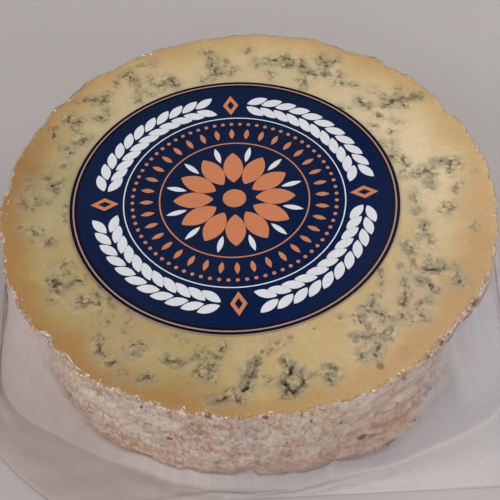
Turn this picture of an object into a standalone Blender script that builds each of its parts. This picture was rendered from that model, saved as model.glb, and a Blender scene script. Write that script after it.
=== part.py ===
"""A level slice from a round of blue-veined cheese, in its clear pouch, with a round label on top.

Metres, +Z up. The origin is on the cheese's axis, in the middle of its flat base, and the front is -Y.
"""
import math

import bmesh
import bpy
from mathutils import Matrix, Vector, noise

MM = 0.001

# Cheese: the ripe wheel was cut level, so its top and base are flat and its wall is the old rind
CHEESE_HEIGHT = 50.0 * MM
RIM_RADIUS = 105.0 * MM
BASE_RADIUS = 104.6 * MM
WALL_BULGE = 0.9 * MM
FOOT_ROUND = 6.5 * MM
CHEESE_SEGMENTS = 180
WALL_ROWS = 13

# Outline: the wheel's wall is slightly scalloped
WOBBLE_DEPTH = 1.2 * MM
WOBBLE_LENGTH = 22.0 * MM

# Sag: on one side, a direction in degrees with a half width, the soft rind bulges out low down
SAG_MIDDLE = -59.0
SAG_HALF_WIDTH = 9.0
SAG_DEPTH = 3.4 * MM
SAG_TOP = 30.0 * MM

# Rind: long shallow streaks that run round the wall, with pits between them
STREAK_DEPTH = 0.7 * MM
STREAK_LENGTH = 17.0 * MM
STREAK_HEIGHT = 5.0 * MM
PIT_DEPTH = 1.5 * MM
PIT_LENGTH = 9.0 * MM
PIT_THRESHOLD = 0.28

# Rim: the knife left a ragged, crumbling edge
CRUMB_DEPTH = 1.3 * MM
CRUMB_LENGTH = 8.0 * MM
CRUMB_BAND = 5.0 * MM
SHOULDER_WIDTH = 3.5 * MM

# Film pouch: a square bag, drawn tight over the cheese, with its spare film spread round the foot
FILM_SEGMENTS = 96
FILM_THICKNESS = 0.6 * MM
FILM_CLEARANCE = 0.3 * MM
POUCH_HALF_SIDE = 113.0 * MM
POUCH_SOFTNESS = 6.0 * MM
CLING_HEIGHT = 6.0 * MM
CLING_SPREAD = 3.5 * MM
TENT_TOP = 47.5 * MM
TENT_ROWS = 6
FLANGE_ROWS = 3

# Each corner of the pouch: middle and half width of its tent in degrees, where the tent meets the
# table, and how far the flat corner of the pouch reaches, both from the axis
CORNERS = {
    "front_right": (-37.0, 37.0, 127.0 * MM, 156.0 * MM),
    "front_left": (-150.0, 34.0, 122.0 * MM, 139.0 * MM),
    "back_left": (137.0, 30.0, 118.0 * MM, 127.0 * MM),
    "back_right": (44.0, 30.0, 118.0 * MM, 127.0 * MM),
}

# Label: a thin round sticker on the film, a little off the cheese's middle
LABEL_RADIUS = 70.4 * MM
LABEL_THICKNESS = 0.35 * MM
LABEL_X = -5.6 * MM
LABEL_Y = 2.5 * MM
LABEL_SEGMENTS = 96


def smooth_step(value):
    """Ease a value between 0 and 1, held at those ends."""
    share = min(max(value, 0.0), 1.0)
    return share * share * (3.0 - 2.0 * share)


def away_from(azimuth, middle_degrees):
    """Degrees between an azimuth in radians and a direction in degrees, the short way round."""
    return abs((math.degrees(azimuth) - middle_degrees + 180.0) % 360.0 - 180.0)


def around(azimuth, radius, height):
    """Point at an azimuth in radians, a radius and a height."""
    return Vector((radius * math.cos(azimuth), radius * math.sin(azimuth), height))


def wall_noise(azimuth, height, length, rise, shift):
    """Noise on the cheese's wall, with cells of one length along it and another up it."""
    arc = around(azimuth, RIM_RADIUS / length, height / rise)
    return noise.noise(arc + Vector((shift, 2.0 * shift, -shift)))


def outline_wobble(azimuth):
    """How far the whole outline stands out or in at an azimuth."""
    return WOBBLE_DEPTH * wall_noise(azimuth, 0.0, WOBBLE_LENGTH, 1.0, 3.7)


def wall_profile(height):
    """Radius of the smooth wall at a height, with its bulge and its rounded foot."""
    share = height / CHEESE_HEIGHT
    radius = BASE_RADIUS + (RIM_RADIUS - BASE_RADIUS) * share + WALL_BULGE * math.sin(math.pi * share)
    below = max(FOOT_ROUND - height, 0.0)
    return radius - FOOT_ROUND + math.sqrt(FOOT_ROUND ** 2 - below ** 2)


def foot_sag(azimuth, height):
    """How far the soft rind bulges out at an azimuth, full at the foot and fading out above it."""
    across = away_from(azimuth, SAG_MIDDLE) / SAG_HALF_WIDTH
    fade = smooth_step((SAG_TOP - height) / (SAG_TOP - FOOT_ROUND))
    return SAG_DEPTH * fade * math.exp(-across ** 2)


def smooth_wall(azimuth, height):
    """Radius of the wall at an azimuth and a height, without the roughness of its rind."""
    return wall_profile(height) + outline_wobble(azimuth) + foot_sag(azimuth, height)


def rind_relief(azimuth, height):
    """Streaks and pits of the rind, out from or into the smooth wall."""
    streak = STREAK_DEPTH * wall_noise(azimuth, height, STREAK_LENGTH, STREAK_HEIGHT, 11.3)
    hollow = wall_noise(azimuth, height, PIT_LENGTH, STREAK_HEIGHT, 23.9) - PIT_THRESHOLD
    pit = PIT_DEPTH * smooth_step(hollow / PIT_THRESHOLD)
    return streak - pit


def rim_crumble(azimuth, height):
    """How far the ragged rim is broken back at an azimuth, fading out below it."""
    fade = smooth_step(1.0 - (CHEESE_HEIGHT - height) / CRUMB_BAND)
    jag = wall_noise(azimuth, 0.0, CRUMB_LENGTH, 1.0, 31.1)
    return CRUMB_DEPTH * fade * jag


def cheese_radius(azimuth, height):
    """Radius of the cheese at an azimuth and a height."""
    return smooth_wall(azimuth, height) + rind_relief(azimuth, height) + rim_crumble(azimuth, height)


def film_bed_radius(azimuth, height):
    """Radius just outside every crag of the wall, where the film lies; it bridges the rounded foot."""
    crags = STREAK_DEPTH + 0.5 * CRUMB_DEPTH
    return smooth_wall(azimuth, max(height, FOOT_ROUND)) + crags + FILM_CLEARANCE


def ring(radius_at, height_at, segments):
    """Closed ring of points, from a radius and a height that are functions of the azimuth."""
    azimuths = [2.0 * math.pi * step / segments for step in range(segments)]
    return [around(azimuth, radius_at(azimuth), height_at(azimuth)) for azimuth in azimuths]


def skin(name, rings, closed):
    """Mesh object through rings of equal count, joined end to end if closed, else capped flat."""
    mesh_maker = bmesh.new()
    loops = [[mesh_maker.verts.new(point) for point in points] for points in rings]
    pairs = list(zip(loops, loops[1:]))
    if closed:
        pairs.append((loops[-1], loops[0]))
    else:
        mesh_maker.faces.new(loops[0])
        mesh_maker.faces.new(loops[-1])
    for lower, upper in pairs:
        for step, corner in enumerate(lower):
            after = (step + 1) % len(lower)
            mesh_maker.faces.new((corner, lower[after], upper[after], upper[step]))
    bmesh.ops.recalc_face_normals(mesh_maker, faces=mesh_maker.faces)
    mesh = bpy.data.meshes.new(name)
    mesh_maker.to_mesh(mesh)
    mesh_maker.free()
    mesh.shade_smooth()
    mesh.set_sharp_from_angle(angle=math.radians(50.0))
    piece = bpy.data.objects.new(name, mesh)
    bpy.context.scene.collection.objects.link(piece)
    return piece


def linear(red, green, blue):
    """Linear colour with alpha 1 from display values of 0 to 255."""
    channels = [value / 255.0 for value in (red, green, blue)]
    straight = [value / 12.92 if value <= 0.04045 else ((value + 0.055) / 1.055) ** 2.4 for value in channels]
    return (*straight, 1.0)


def finish(name, colour, roughness, alpha=1.0):
    """Principled material of one colour, roughness and alpha."""
    material = bpy.data.materials.new(name)
    material.use_nodes = True
    shader = material.node_tree.nodes["Principled BSDF"]
    shader.inputs["Base Color"].default_value = colour
    shader.inputs["Roughness"].default_value = roughness
    shader.inputs["Metallic"].default_value = 0.0
    shader.inputs["Alpha"].default_value = alpha
    return material


def wall_heights():
    """Heights of the cheese's rings: close together round the foot, then even up to the rim."""
    foot = [FOOT_ROUND * (1.0 - math.cos(angle)) for angle in (0.0, 0.55, 0.95, 1.3)]
    rise = (CHEESE_HEIGHT - FOOT_ROUND) / (WALL_ROWS - 1)
    return foot + [FOOT_ROUND + rise * row for row in range(WALL_ROWS)]


def rim_height(azimuth):
    """Height of the rim, lower where crumbs have broken away."""
    loss = 0.5 - wall_noise(azimuth, 0.0, CRUMB_LENGTH, 1.0, 31.1)
    return CHEESE_HEIGHT - 0.5 * CRUMB_DEPTH * loss


def cheese():
    """The slice of cheese, with a flat top and base, a rough rind and a ragged rim."""
    heights = wall_heights()
    rings = [
        ring(lambda azimuth: cheese_radius(azimuth, height), lambda azimuth: height, CHEESE_SEGMENTS)
        for height in heights[:-1]
    ]
    rings.append(ring(lambda azimuth: cheese_radius(azimuth, CHEESE_HEIGHT), rim_height, CHEESE_SEGMENTS))
    rings.append(ring(
        lambda azimuth: cheese_radius(azimuth, CHEESE_HEIGHT) - SHOULDER_WIDTH,
        lambda azimuth: CHEESE_HEIGHT,
        CHEESE_SEGMENTS,
    ))
    piece = skin("cheese", rings, closed=False)
    piece.data.materials.append(finish("rind", linear(172, 155, 142), 0.75))
    piece.data.materials.append(finish("paste", linear(202, 182, 128), 0.45))
    for face in piece.data.polygons:
        face.material_index = 1 if face.normal.z > 0.9 else 0
    return piece


def nearest_corner(azimuth):
    """Sizes of the pouch corner whose tent is nearest to an azimuth."""
    return min(CORNERS.values(), key=lambda corner: away_from(azimuth, corner[0]) / corner[1])


def tent_share(azimuth):
    """How far the film stands off the wall at an azimuth: 0 where it clings, 1 in a corner's tent."""
    middle, half_width, _, _ = nearest_corner(azimuth)
    return smooth_step(1.0 - away_from(azimuth, middle) / half_width)


def leaving_height(azimuth):
    """Height at which the film leaves the wall."""
    return CLING_HEIGHT + (TENT_TOP - CLING_HEIGHT) * tent_share(azimuth)


def foot_radius(azimuth):
    """Radius at which the sloping film meets the table; it comes to a point in a corner's tent."""
    clinging = film_bed_radius(azimuth, CLING_HEIGHT) + CLING_SPREAD
    tent_foot = nearest_corner(azimuth)[2]
    return clinging + (tent_foot - clinging) * tent_share(azimuth) ** 2


def pouch_edge(azimuth):
    """Radius of the pouch's outer edge: straight sides, with a corner that stops at its own reach."""
    side = POUCH_HALF_SIDE / max(abs(math.cos(azimuth)), abs(math.sin(azimuth)))
    reach = nearest_corner(azimuth)[3]
    gap = max(POUCH_SOFTNESS - abs(side - reach), 0.0)
    return min(side, reach) - gap * gap / (4.0 * POUCH_SOFTNESS)


def film_height(azimuth, share):
    """Height on the sloping film, from its foot at share 0 to where it leaves the wall at 1."""
    return FILM_THICKNESS + (leaving_height(azimuth) - FILM_THICKNESS) * share


def film_radius(azimuth, share):
    """Radius on the sloping film, which runs nearly straight but never cuts into the wall."""
    height = film_height(azimuth, share)
    top = film_bed_radius(azimuth, leaving_height(azimuth)) + FILM_THICKNESS
    bow = (1.0 - share) ** 1.25
    slope = top + (foot_radius(azimuth) - top) * bow
    return max(slope, film_bed_radius(azimuth, height) + FILM_THICKNESS)


def flange_radius(azimuth, share):
    """Radius on the flat skirt, from the film's foot at share 0 to the pouch's edge at 1."""
    start = film_radius(azimuth, 0.0)
    end = max(pouch_edge(azimuth), start + FILM_THICKNESS)
    return start + (end - start) * share


def film():
    """The loose film of the pouch round the cheese: its tents, and its skirt on the table."""
    def film_ring(radius_at, height_at):
        return ring(radius_at, height_at, FILM_SEGMENTS)

    steps = [row / TENT_ROWS for row in range(TENT_ROWS + 1)]
    outside = [
        film_ring(lambda azimuth: film_radius(azimuth, share), lambda azimuth: film_height(azimuth, share))
        for share in steps
    ]
    inside = [
        film_ring(
            lambda azimuth: film_bed_radius(azimuth, film_height(azimuth, share)),
            lambda azimuth: film_height(azimuth, share),
        )
        for share in reversed(steps)
    ]
    floor_ring = film_ring(lambda azimuth: film_bed_radius(azimuth, 0.0), lambda azimuth: 0.0)
    edge_ring = film_ring(lambda azimuth: flange_radius(azimuth, 1.0), lambda azimuth: 0.0)
    skirt = [
        film_ring(lambda azimuth: flange_radius(azimuth, row / FLANGE_ROWS), lambda azimuth: FILM_THICKNESS)
        for row in range(FLANGE_ROWS, 0, -1)
    ]
    piece = skin("film", [*outside, *inside, floor_ring, edge_ring, *skirt], closed=True)
    piece.data.materials.append(finish("clear_film", linear(235, 232, 232), 0.12, alpha=0.3))
    return piece


def label():
    """The thin round label on top."""
    bottom = CHEESE_HEIGHT + FILM_CLEARANCE
    rings = [
        ring(lambda azimuth: LABEL_RADIUS, lambda azimuth: height, LABEL_SEGMENTS)
        for height in (bottom, bottom + LABEL_THICKNESS)
    ]
    piece = skin("label", rings, closed=False)
    piece.data.transform(Matrix.Translation((LABEL_X, LABEL_Y, 0.0)))
    piece.data.materials.append(finish("label_print", linear(18, 32, 74), 0.4))
    return piece


for leftover in list(bpy.data.objects):
    bpy.data.objects.remove(leftover)
cheese()
film()
label()
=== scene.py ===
"""Looks of a level slice of blue-veined cheese in its clear pouch, with a round label on top.

Metres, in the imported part's frame: +Z up, the front is -Y, and the origin is in the middle of the
cheese's flat base. Colours are given as display values of 0 to 255.
"""
import logging
import math
from dataclasses import dataclass, field
from enum import Enum
from functools import reduce
from typing import Callable, Sequence

import bpy
import numpy as np
from mathutils import Matrix, Vector, noise


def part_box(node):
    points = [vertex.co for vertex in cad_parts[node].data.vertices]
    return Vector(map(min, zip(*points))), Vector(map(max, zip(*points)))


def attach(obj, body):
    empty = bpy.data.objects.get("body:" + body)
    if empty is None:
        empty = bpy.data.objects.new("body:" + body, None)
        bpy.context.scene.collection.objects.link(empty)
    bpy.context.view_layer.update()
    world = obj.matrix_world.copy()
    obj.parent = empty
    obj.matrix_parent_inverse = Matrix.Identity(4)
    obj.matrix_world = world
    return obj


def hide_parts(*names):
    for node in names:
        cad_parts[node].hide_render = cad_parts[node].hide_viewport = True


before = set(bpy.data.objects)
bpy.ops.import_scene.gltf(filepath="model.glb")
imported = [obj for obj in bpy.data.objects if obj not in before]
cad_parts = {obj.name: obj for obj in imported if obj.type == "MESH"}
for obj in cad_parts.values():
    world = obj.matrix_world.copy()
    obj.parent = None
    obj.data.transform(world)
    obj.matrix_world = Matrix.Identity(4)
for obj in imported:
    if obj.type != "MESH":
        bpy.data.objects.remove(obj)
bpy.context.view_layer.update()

MM = 0.001
BODY = "root"
LOG = logging.getLogger("cheese")

Colour = tuple[float, float, float]

# Veins of the cut face: how dark, how wide in mm, then points in mm from the axis
VEINS_BACK_LEFT = (
    (0.6, 2.0, (-17, 94.5), (-14.5, 93.5)),
    (0.85, 1.8, (-13, 90), (-13.5, 86), (-12, 83), (-12, 80)),
    (0.7, 1.5, (-12, 80), (-9.5, 79.5), (-6, 80.5), (-4, 81.5)),
    (0.6, 1.6, (-17, 76), (-14, 77)),
    (0.4, 1.2, (-7, 88), (-6.5, 85)),
    (0.6, 1.4, (-46.5, 87), (-43, 88), (-40.5, 89)),
    (0.75, 1.8, (-55, 80.5), (-52.5, 83), (-51.5, 80)),
    (0.85, 1.7, (-50, 79), (-49.5, 76), (-49, 74.5)),
    (0.6, 1.3, (-42, 79), (-41, 76), (-38, 74), (-37.5, 72)),
    (0.8, 1.6, (-36, 74.5), (-34, 78), (-32, 75), (-31, 73)),
    (0.6, 1.4, (-48, 69.5), (-44, 69.5), (-42, 68.5)),
    (0.55, 1.3, (-49, 65.5), (-48, 64)),
    (0.4, 1.2, (-58.5, 76.5), (-58, 74)),
    (0.8, 1.8, (-68.5, 67), (-67, 64.5), (-64, 65), (-62, 69)),
    (0.5, 1.4, (-77, 65), (-72, 66.5)),
    (0.7, 1.3, (-62, 60), (-61.5, 57.5)),
    (0.7, 1.4, (-68.5, 55), (-65, 55), (-63, 54)),
    (0.9, 1.8, (-79, 57), (-79.5, 53.5), (-77, 52.5), (-73.5, 53)),
    (0.55, 2.6, (-85.5, 49), (-84.5, 43.5)),
    (0.6, 1.5, (-75, 47.5), (-74.5, 46)),
    (0.8, 1.7, (-75, 40), (-72, 39), (-71, 43.5), (-70, 41.5)),
    (0.8, 1.6, (-79.5, 36.5), (-77.5, 35.5), (-77, 33.5)),
    (0.35, 1.2, (-91.5, 40), (-90.5, 39)),
    (0.3, 1.6, (-81.5, 27.5), (-78, 26.5)),
)
VEINS_LEFT = (
    (0.65, 1.6, (-95, 20), (-93.5, 15), (-94, 12)),
    (0.8, 1.4, (-91, 9), (-90.5, 6.5)),
    (0.75, 1.5, (-95.5, 8), (-95, 4), (-92, 3.5)),
    (0.6, 1.5, (-88, 21.5), (-86, 19.5)),
    (0.95, 1.8, (-84, 15.5), (-83.3, 14)),
    (0.7, 1.4, (-80.5, 18), (-81, 13.5), (-82.5, 10)),
    (0.4, 1.4, (-86, 6.5), (-84.5, 5.5)),
    (0.35, 1.6, (-79, 4.5), (-76, 3)),
    (0.3, 1.6, (-79, -1.5), (-77, -4.5)),
    (0.5, 1.0, (-96, -6.5), (-93.5, -8.5)),
    (0.85, 1.7, (-91.5, -9.5), (-87.5, -11)),
    (0.8, 1.3, (-83, -15.5), (-83.3, -17.5)),
    (0.35, 1.0, (-90, -14.5), (-89.5, -15.5)),
)
VEINS_FRONT_LEFT = (
    (0.5, 1.1, (-82, -28), (-78, -28.5), (-76, -26.5)),
    (0.65, 1.1, (-75, -27.5), (-74, -31), (-75.5, -34)),
    (1.0, 2.3, (-80.5, -36.5), (-79.8, -39), (-78, -42.5)),
    (0.95, 1.4, (-78.5, -37.5), (-77.3, -40)),
    (0.95, 1.2, (-73.8, -38.9), (-72, -36.9), (-68.7, -36.7)),
    (0.6, 0.9, (-81, -46.3), (-80.6, -47.3)),
    (0.75, 1.3, (-61, -41), (-62.5, -43.5), (-64, -47.5)),
    (0.85, 1.6, (-70.3, -50), (-68.5, -48.5), (-68.8, -46)),
    (0.6, 1.2, (-66.5, -48.2), (-65.5, -47.5)),
    (0.85, 1.4, (-61.8, -46), (-61.5, -49), (-61.8, -52.2)),
    (0.65, 1.3, (-57.3, -46.5), (-56.5, -49)),
    (0.3, 1.6, (-56, -51), (-56, -55.5), (-58.5, -58.5)),
    (0.6, 1.1, (-49.3, -54), (-49.3, -56.3)),
    (0.6, 1.2, (-50, -60), (-50.3, -62.5)),
    (0.5, 1.0, (-61.5, -58), (-60.5, -62), (-61, -66)),
    (0.85, 1.6, (-60.5, -68), (-60.8, -71.5)),
    (0.75, 1.4, (-59, -72.5), (-58, -74.8)),
    (0.75, 1.7, (-57.5, -77.5), (-54.5, -78)),
    (0.6, 1.9, (-49.5, -72), (-47.5, -69.5), (-44, -69.5), (-42.5, -70.8)),
    (0.7, 1.4, (-48.5, -74.5), (-46, -74.2), (-45.5, -72)),
    (0.6, 1.2, (-51, -82.5), (-50.7, -84)),
    (0.85, 1.5, (-44.5, -86), (-42, -84.5), (-41, -85.5)),
    (0.45, 1.1, (-33, -67.5), (-28.5, -66.5), (-27.3, -69)),
    (0.85, 1.4, (-34.5, -76.5), (-32.5, -78), (-29.3, -79.5)),
    (0.55, 1.0, (-21, -72), (-20.6, -73.2)),
    (0.85, 0.9, (-24, -77.6), (-22.3, -76.2), (-19, -75.9)),
    (0.6, 1.0, (-22.5, -78), (-21.5, -81), (-22.3, -84)),
    (0.9, 1.8, (-22.6, -84.2), (-20.5, -86.2)),
    (0.75, 1.2, (-19, -85.5), (-17.5, -88)),
    (0.95, 1.1, (-18, -85), (-17.2, -81.5), (-15.5, -79.5)),
    (0.8, 1.2, (-15, -79), (-14.2, -75.5), (-12.8, -72.5)),
    (0.5, 1.0, (-12, -72), (-12, -75)),
    (0.35, 1.0, (-24.7, -85.5), (-25, -89.5)),
    (0.95, 0.9, (-18, -96.2), (-13, -96.4), (-10.5, -95.2), (-9.3, -94.2)),
    (0.85, 1.3, (-9.3, -94.2), (-8, -95), (-6.5, -97.4)),
    (1.0, 1.4, (0.3, -79.5), (-1, -83), (-2.5, -86), (-3, -89), (-5, -92.5)),
    (0.7, 1.0, (-3.5, -82), (-4.2, -85)),
)
VEINS_FRONT_RIGHT = (
    (0.5, 1.0, (5, -76), (8.5, -74), (11, -71.2), (13.5, -70.7)),
    (0.6, 1.2, (6.3, -72), (7, -72.6)),
    (0.65, 0.8, (3.2, -88.5), (5, -89.6), (10, -90.2)),
    (0.8, 1.2, (11, -80), (11.8, -83), (13, -85.5)),
    (1.0, 2.0, (13.6, -83.8), (12.6, -86.2)),
    (1.0, 1.8, (10.3, -90.3), (12.2, -91.2), (11.4, -93.6)),
    (0.85, 0.9, (12.6, -87.6), (15, -86), (16.6, -86.6)),
    (1.0, 1.2, (13, -94.6), (16.3, -91.7), (18.2, -89.2), (17.5, -86.5)),
    (0.6, 1.2, (18.5, -89), (22, -87.7)),
    (0.5, 1.0, (9.5, -96.5), (13.5, -96.3)),
    (0.85, 1.0, (27, -84.8), (30, -84.8), (30.4, -88)),
    (0.95, 1.8, (27.2, -87.3), (28, -90.5)),
    (0.6, 1.0, (33.3, -61.9), (33.9, -62.1)),
    (1.0, 1.4, (38.5, -70.8), (42, -71.5), (45, -70.8), (49, -70.5)),
    (0.95, 1.2, (49, -71), (48.5, -74.5), (46.3, -79)),
    (0.85, 0.9, (41, -78.5), (40.8, -80), (43.5, -81.3), (46.5, -80)),
    (1.0, 1.5, (45.5, -79.3), (46.3, -79.8)),
    (0.9, 1.8, (41.5, -62), (42, -65), (44, -66.5)),
    (0.95, 1.6, (43.5, -58.5), (46, -59), (48.5, -60)),
    (0.95, 1.2, (48.5, -52.5), (47.5, -55), (46.5, -57.5)),
    (0.9, 1.3, (50.5, -60.5), (52, -63), (55, -64.5), (58, -63), (59, -61.6)),
    (0.7, 1.6, (53, -66), (53.5, -69), (52.5, -72.5)),
    (0.45, 1.2, (50.5, -66), (50.8, -68)),
    (0.65, 1.2, (60.5, -61), (61, -63), (62.5, -65)),
    (0.95, 1.8, (61.5, -51.5), (60.5, -54), (59.5, -56.5)),
    (0.75, 1.4, (62, -44), (61.5, -47), (62, -49)),
    (0.75, 1.4, (60.5, -38), (61.5, -39.8)),
    (0.6, 1.1, (64.3, -38), (65.2, -38.8)),
    (0.95, 2.0, (67, -45.5), (70, -46.5), (72.3, -48.5), (71.5, -50.5)),
    (0.75, 1.2, (70.5, -52), (70.6, -56)),
    (0.55, 1.4, (67, -56), (65.5, -58.5)),
    (0.95, 1.4, (65.5, -62), (67.3, -64)),
    (0.65, 1.0, (52, -39), (52.3, -43), (51.8, -47.5)),
    (0.95, 1.5, (63.5, -25.5), (66.3, -28.3)),
    (0.75, 1.2, (65, -30), (66, -32.5), (66.5, -36)),
    (0.8, 1.3, (72, -34.5), (74.5, -36), (77, -38.5)),
    (0.95, 1.2, (69.5, -39.5), (74, -41), (78, -40), (82.5, -40.5)),
    (0.85, 1.6, (82.5, -43), (84.5, -44.5), (82.5, -47.5)),
    (0.8, 1.0, (85.3, -45.2), (85.9, -45.8)),
)
VEINS_RIGHT = (
    (0.6, 2.2, (61, 31), (65, 30), (64.5, 24), (63, 21), (68, 20.5)),
    (0.65, 1.2, (67.5, 21), (68.8, 17), (67.5, 11.5)),
    (0.95, 1.2, (73, 12), (76.5, 13.8), (79.5, 12)),
    (0.95, 1.6, (77.5, 9.5), (79, 6)),
    (0.85, 1.3, (82, 17.2), (87, 18), (91, 18.5), (92, 15.5)),
    (0.6, 2.0, (88, 17), (87.5, 11)),
    (0.65, 1.4, (70.7, 2), (70.8, -3)),
    (0.75, 1.2, (71, -8), (71, -9.5)),
    (0.45, 2.5, (90.5, 5), (88.5, 1)),
    (0.3, 1.2, (98, 12.2), (98.6, 11)),
    (0.5, 2.2, (81, -9), (85, -5.5), (86, -8), (82.5, -10.5)),
    (0.9, 1.4, (73, -16), (72, -19), (70.5, -23)),
    (0.5, 1.4, (94, -17), (93, -20)),
    (0.55, 1.2, (74, -22), (75.5, -28)),
    (0.35, 1.2, (77.5, 2.5), (78.5, 1.5)),
    (0.5, 1.0, (65, 37.8), (65.3, 37.2)),
)
VEINS_BACK_RIGHT = (
    (0.4, 1.2, (2.5, 93.5), (5, 95)),
    (0.55, 1.6, (6.5, 88), (7.5, 84)),
    (0.85, 1.4, (12, 86), (14, 87), (17, 86.5)),
    (0.85, 1.5, (20, 88.5), (22, 86.5), (24, 84.5)),
    (0.85, 1.5, (19, 85), (21, 83), (23, 82.5)),
    (0.5, 1.8, (13, 80), (14, 75)),
    (0.95, 1.8, (27.5, 84), (28.5, 80.5), (31, 77), (34, 75.5)),
    (0.6, 1.5, (27, 73), (29, 71), (28, 67)),
    (0.9, 1.4, (37.5, 87.5), (38.5, 83.5), (39.5, 81)),
    (0.75, 1.4, (40, 81.5), (44, 84.5)),
    (0.75, 1.8, (37, 77), (39.5, 75)),
    (0.65, 1.3, (44.5, 76), (45.5, 74)),
    (0.55, 1.4, (43, 69.5), (47, 69), (52, 67)),
    (0.75, 1.6, (52.5, 58), (54, 55), (57, 53.5)),
    (0.5, 1.4, (59, 64), (60, 63)),
    (0.85, 1.5, (64.5, 58.5), (65.5, 57)),
    (0.85, 1.3, (64, 54), (67, 54.5)),
    (0.95, 1.6, (67, 57), (71, 56.5), (74, 58.5), (79.5, 58.5)),
    (0.6, 1.2, (71.5, 64), (71, 61)),
    (0.7, 1.4, (71.5, 53.5), (73, 53)),
    (0.55, 1.4, (59.5, 47.5), (61, 46.5)),
    (0.45, 1.6, (67, 45), (70, 43)),
    (0.4, 1.4, (56.5, 41.5), (58, 41)),
    (0.35, 1.6, (44, 54), (47, 53)),
)
VEINS = (
    *VEINS_BACK_LEFT, *VEINS_LEFT, *VEINS_FRONT_LEFT, *VEINS_FRONT_RIGHT, *VEINS_RIGHT, *VEINS_BACK_RIGHT,
)

# Open cracks along the strongest veins: how deep as a share, how wide in mm, then points in mm
CRACKS = (
    (1.0, 1.5, (-3.8, -91.4), (-5.4, -92.6)),
    (0.5, 0.8, (-1, -83), (-2.5, -87)),
    (1.0, 1.3, (13.4, -84), (12.8, -85.8)),
    (1.0, 1.3, (10.6, -90.6), (11.8, -91.2)),
    (1.0, 0.9, (13.4, -94.4), (16.3, -91.8), (18.1, -89.3)),
    (0.6, 0.8, (11.5, -92.5), (11.2, -94)),
    (0.8, 0.8, (45.4, -79.2), (46.4, -79.9)),
    (0.6, 0.7, (40.8, -79.2), (41.4, -80.6)),
    (0.5, 0.7, (43, -71.2), (47.5, -70.6)),
    (0.7, 0.8, (27.3, -84.8), (29.6, -84.8)),
    (1.0, 1.2, (88.2, -56.6), (86.6, -58.6)),
    (0.5, 0.8, (-18, -96.3), (-13, -96.5), (-10, -95)),
    (0.6, 1.0, (-8, -95.2), (-6.6, -97)),
)
# Small brown spots and soft amber blotches: x, y and radius in mm
SPOTS = (
    (2.6, -75.6, 0.9), (23.2, -66.1, 0.6), (65.2, 37.6, 0.6), (-80.9, -46.4, 0.6), (47.4, -85.0, 1.5),
    (34, -62, 0.5), (-7.1, -97.9, 0.6),
)
BLOTCHES = ((57.6, -79.2, 4.0), (-91.8, -40.3, 6.0), (-76.3, -65.6, 5.0), (-33, -96, 6.0), (95, -26, 6.0))
# The paste by azimuth in degrees: how amber it is at the rind and how much painted shade darkens it all over,
# how tan, and how far in mm that reaches in
PASTE_TONE_AND_SHADE = (
    (-180, 0.85, 0.85, 5), (-108, 0.8, 0.85, 5), (-86, 0.35, 0.65, 3), (-60, 0.25, 0.8, 5),
    (-30, 0.3, 0.95, 9), (-10, 0.15, 0.85, 8), (8, 0.1, 0.7, 5), (24, 0.1, 0.45, 2), (60, 0.25, 0.5, 2),
    (84, 0.2, 0.35, 1), (130, 0.3, 0.4, 2), (154, 0.7, 0.8, 4), (167, 1.2, 0.9, 7), (180, 0.85, 0.85, 5),
)
# Width in mm of the rind folded over the rim, by azimuth in degrees
RIM_WIDTHS = (
    (-180, 0.3), (-150, 0.4), (-120, 0.6), (-60, 0.5), (-50, 2.0), (-32, 2.4), (-24, 0.6), (0, 0.2),
    (90, 0.1), (150, 0.3), (180, 0.3),
)
# How milky the film is where it stands off the wall, by azimuth in degrees
VEIL = (
    (-180, 0.9), (-144, 0.9), (-137, 0.0), (-51, 0.0), (-42, 0.78), (-12, 0.78), (4, 0.2), (30, 0.3),
    (60, 0.2), (110, 0.2), (140, 0.6), (180, 0.9),
)
# How milky it is along its foot, by azimuth in degrees
FOOT_VEIL = (
    (-180, 0.95), (-105, 0.95), (-82, 0.7), (-66, 0.5), (0, 0.5), (20, 0.8), (110, 0.8), (140, 0.95),
    (180, 0.95),
)
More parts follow.
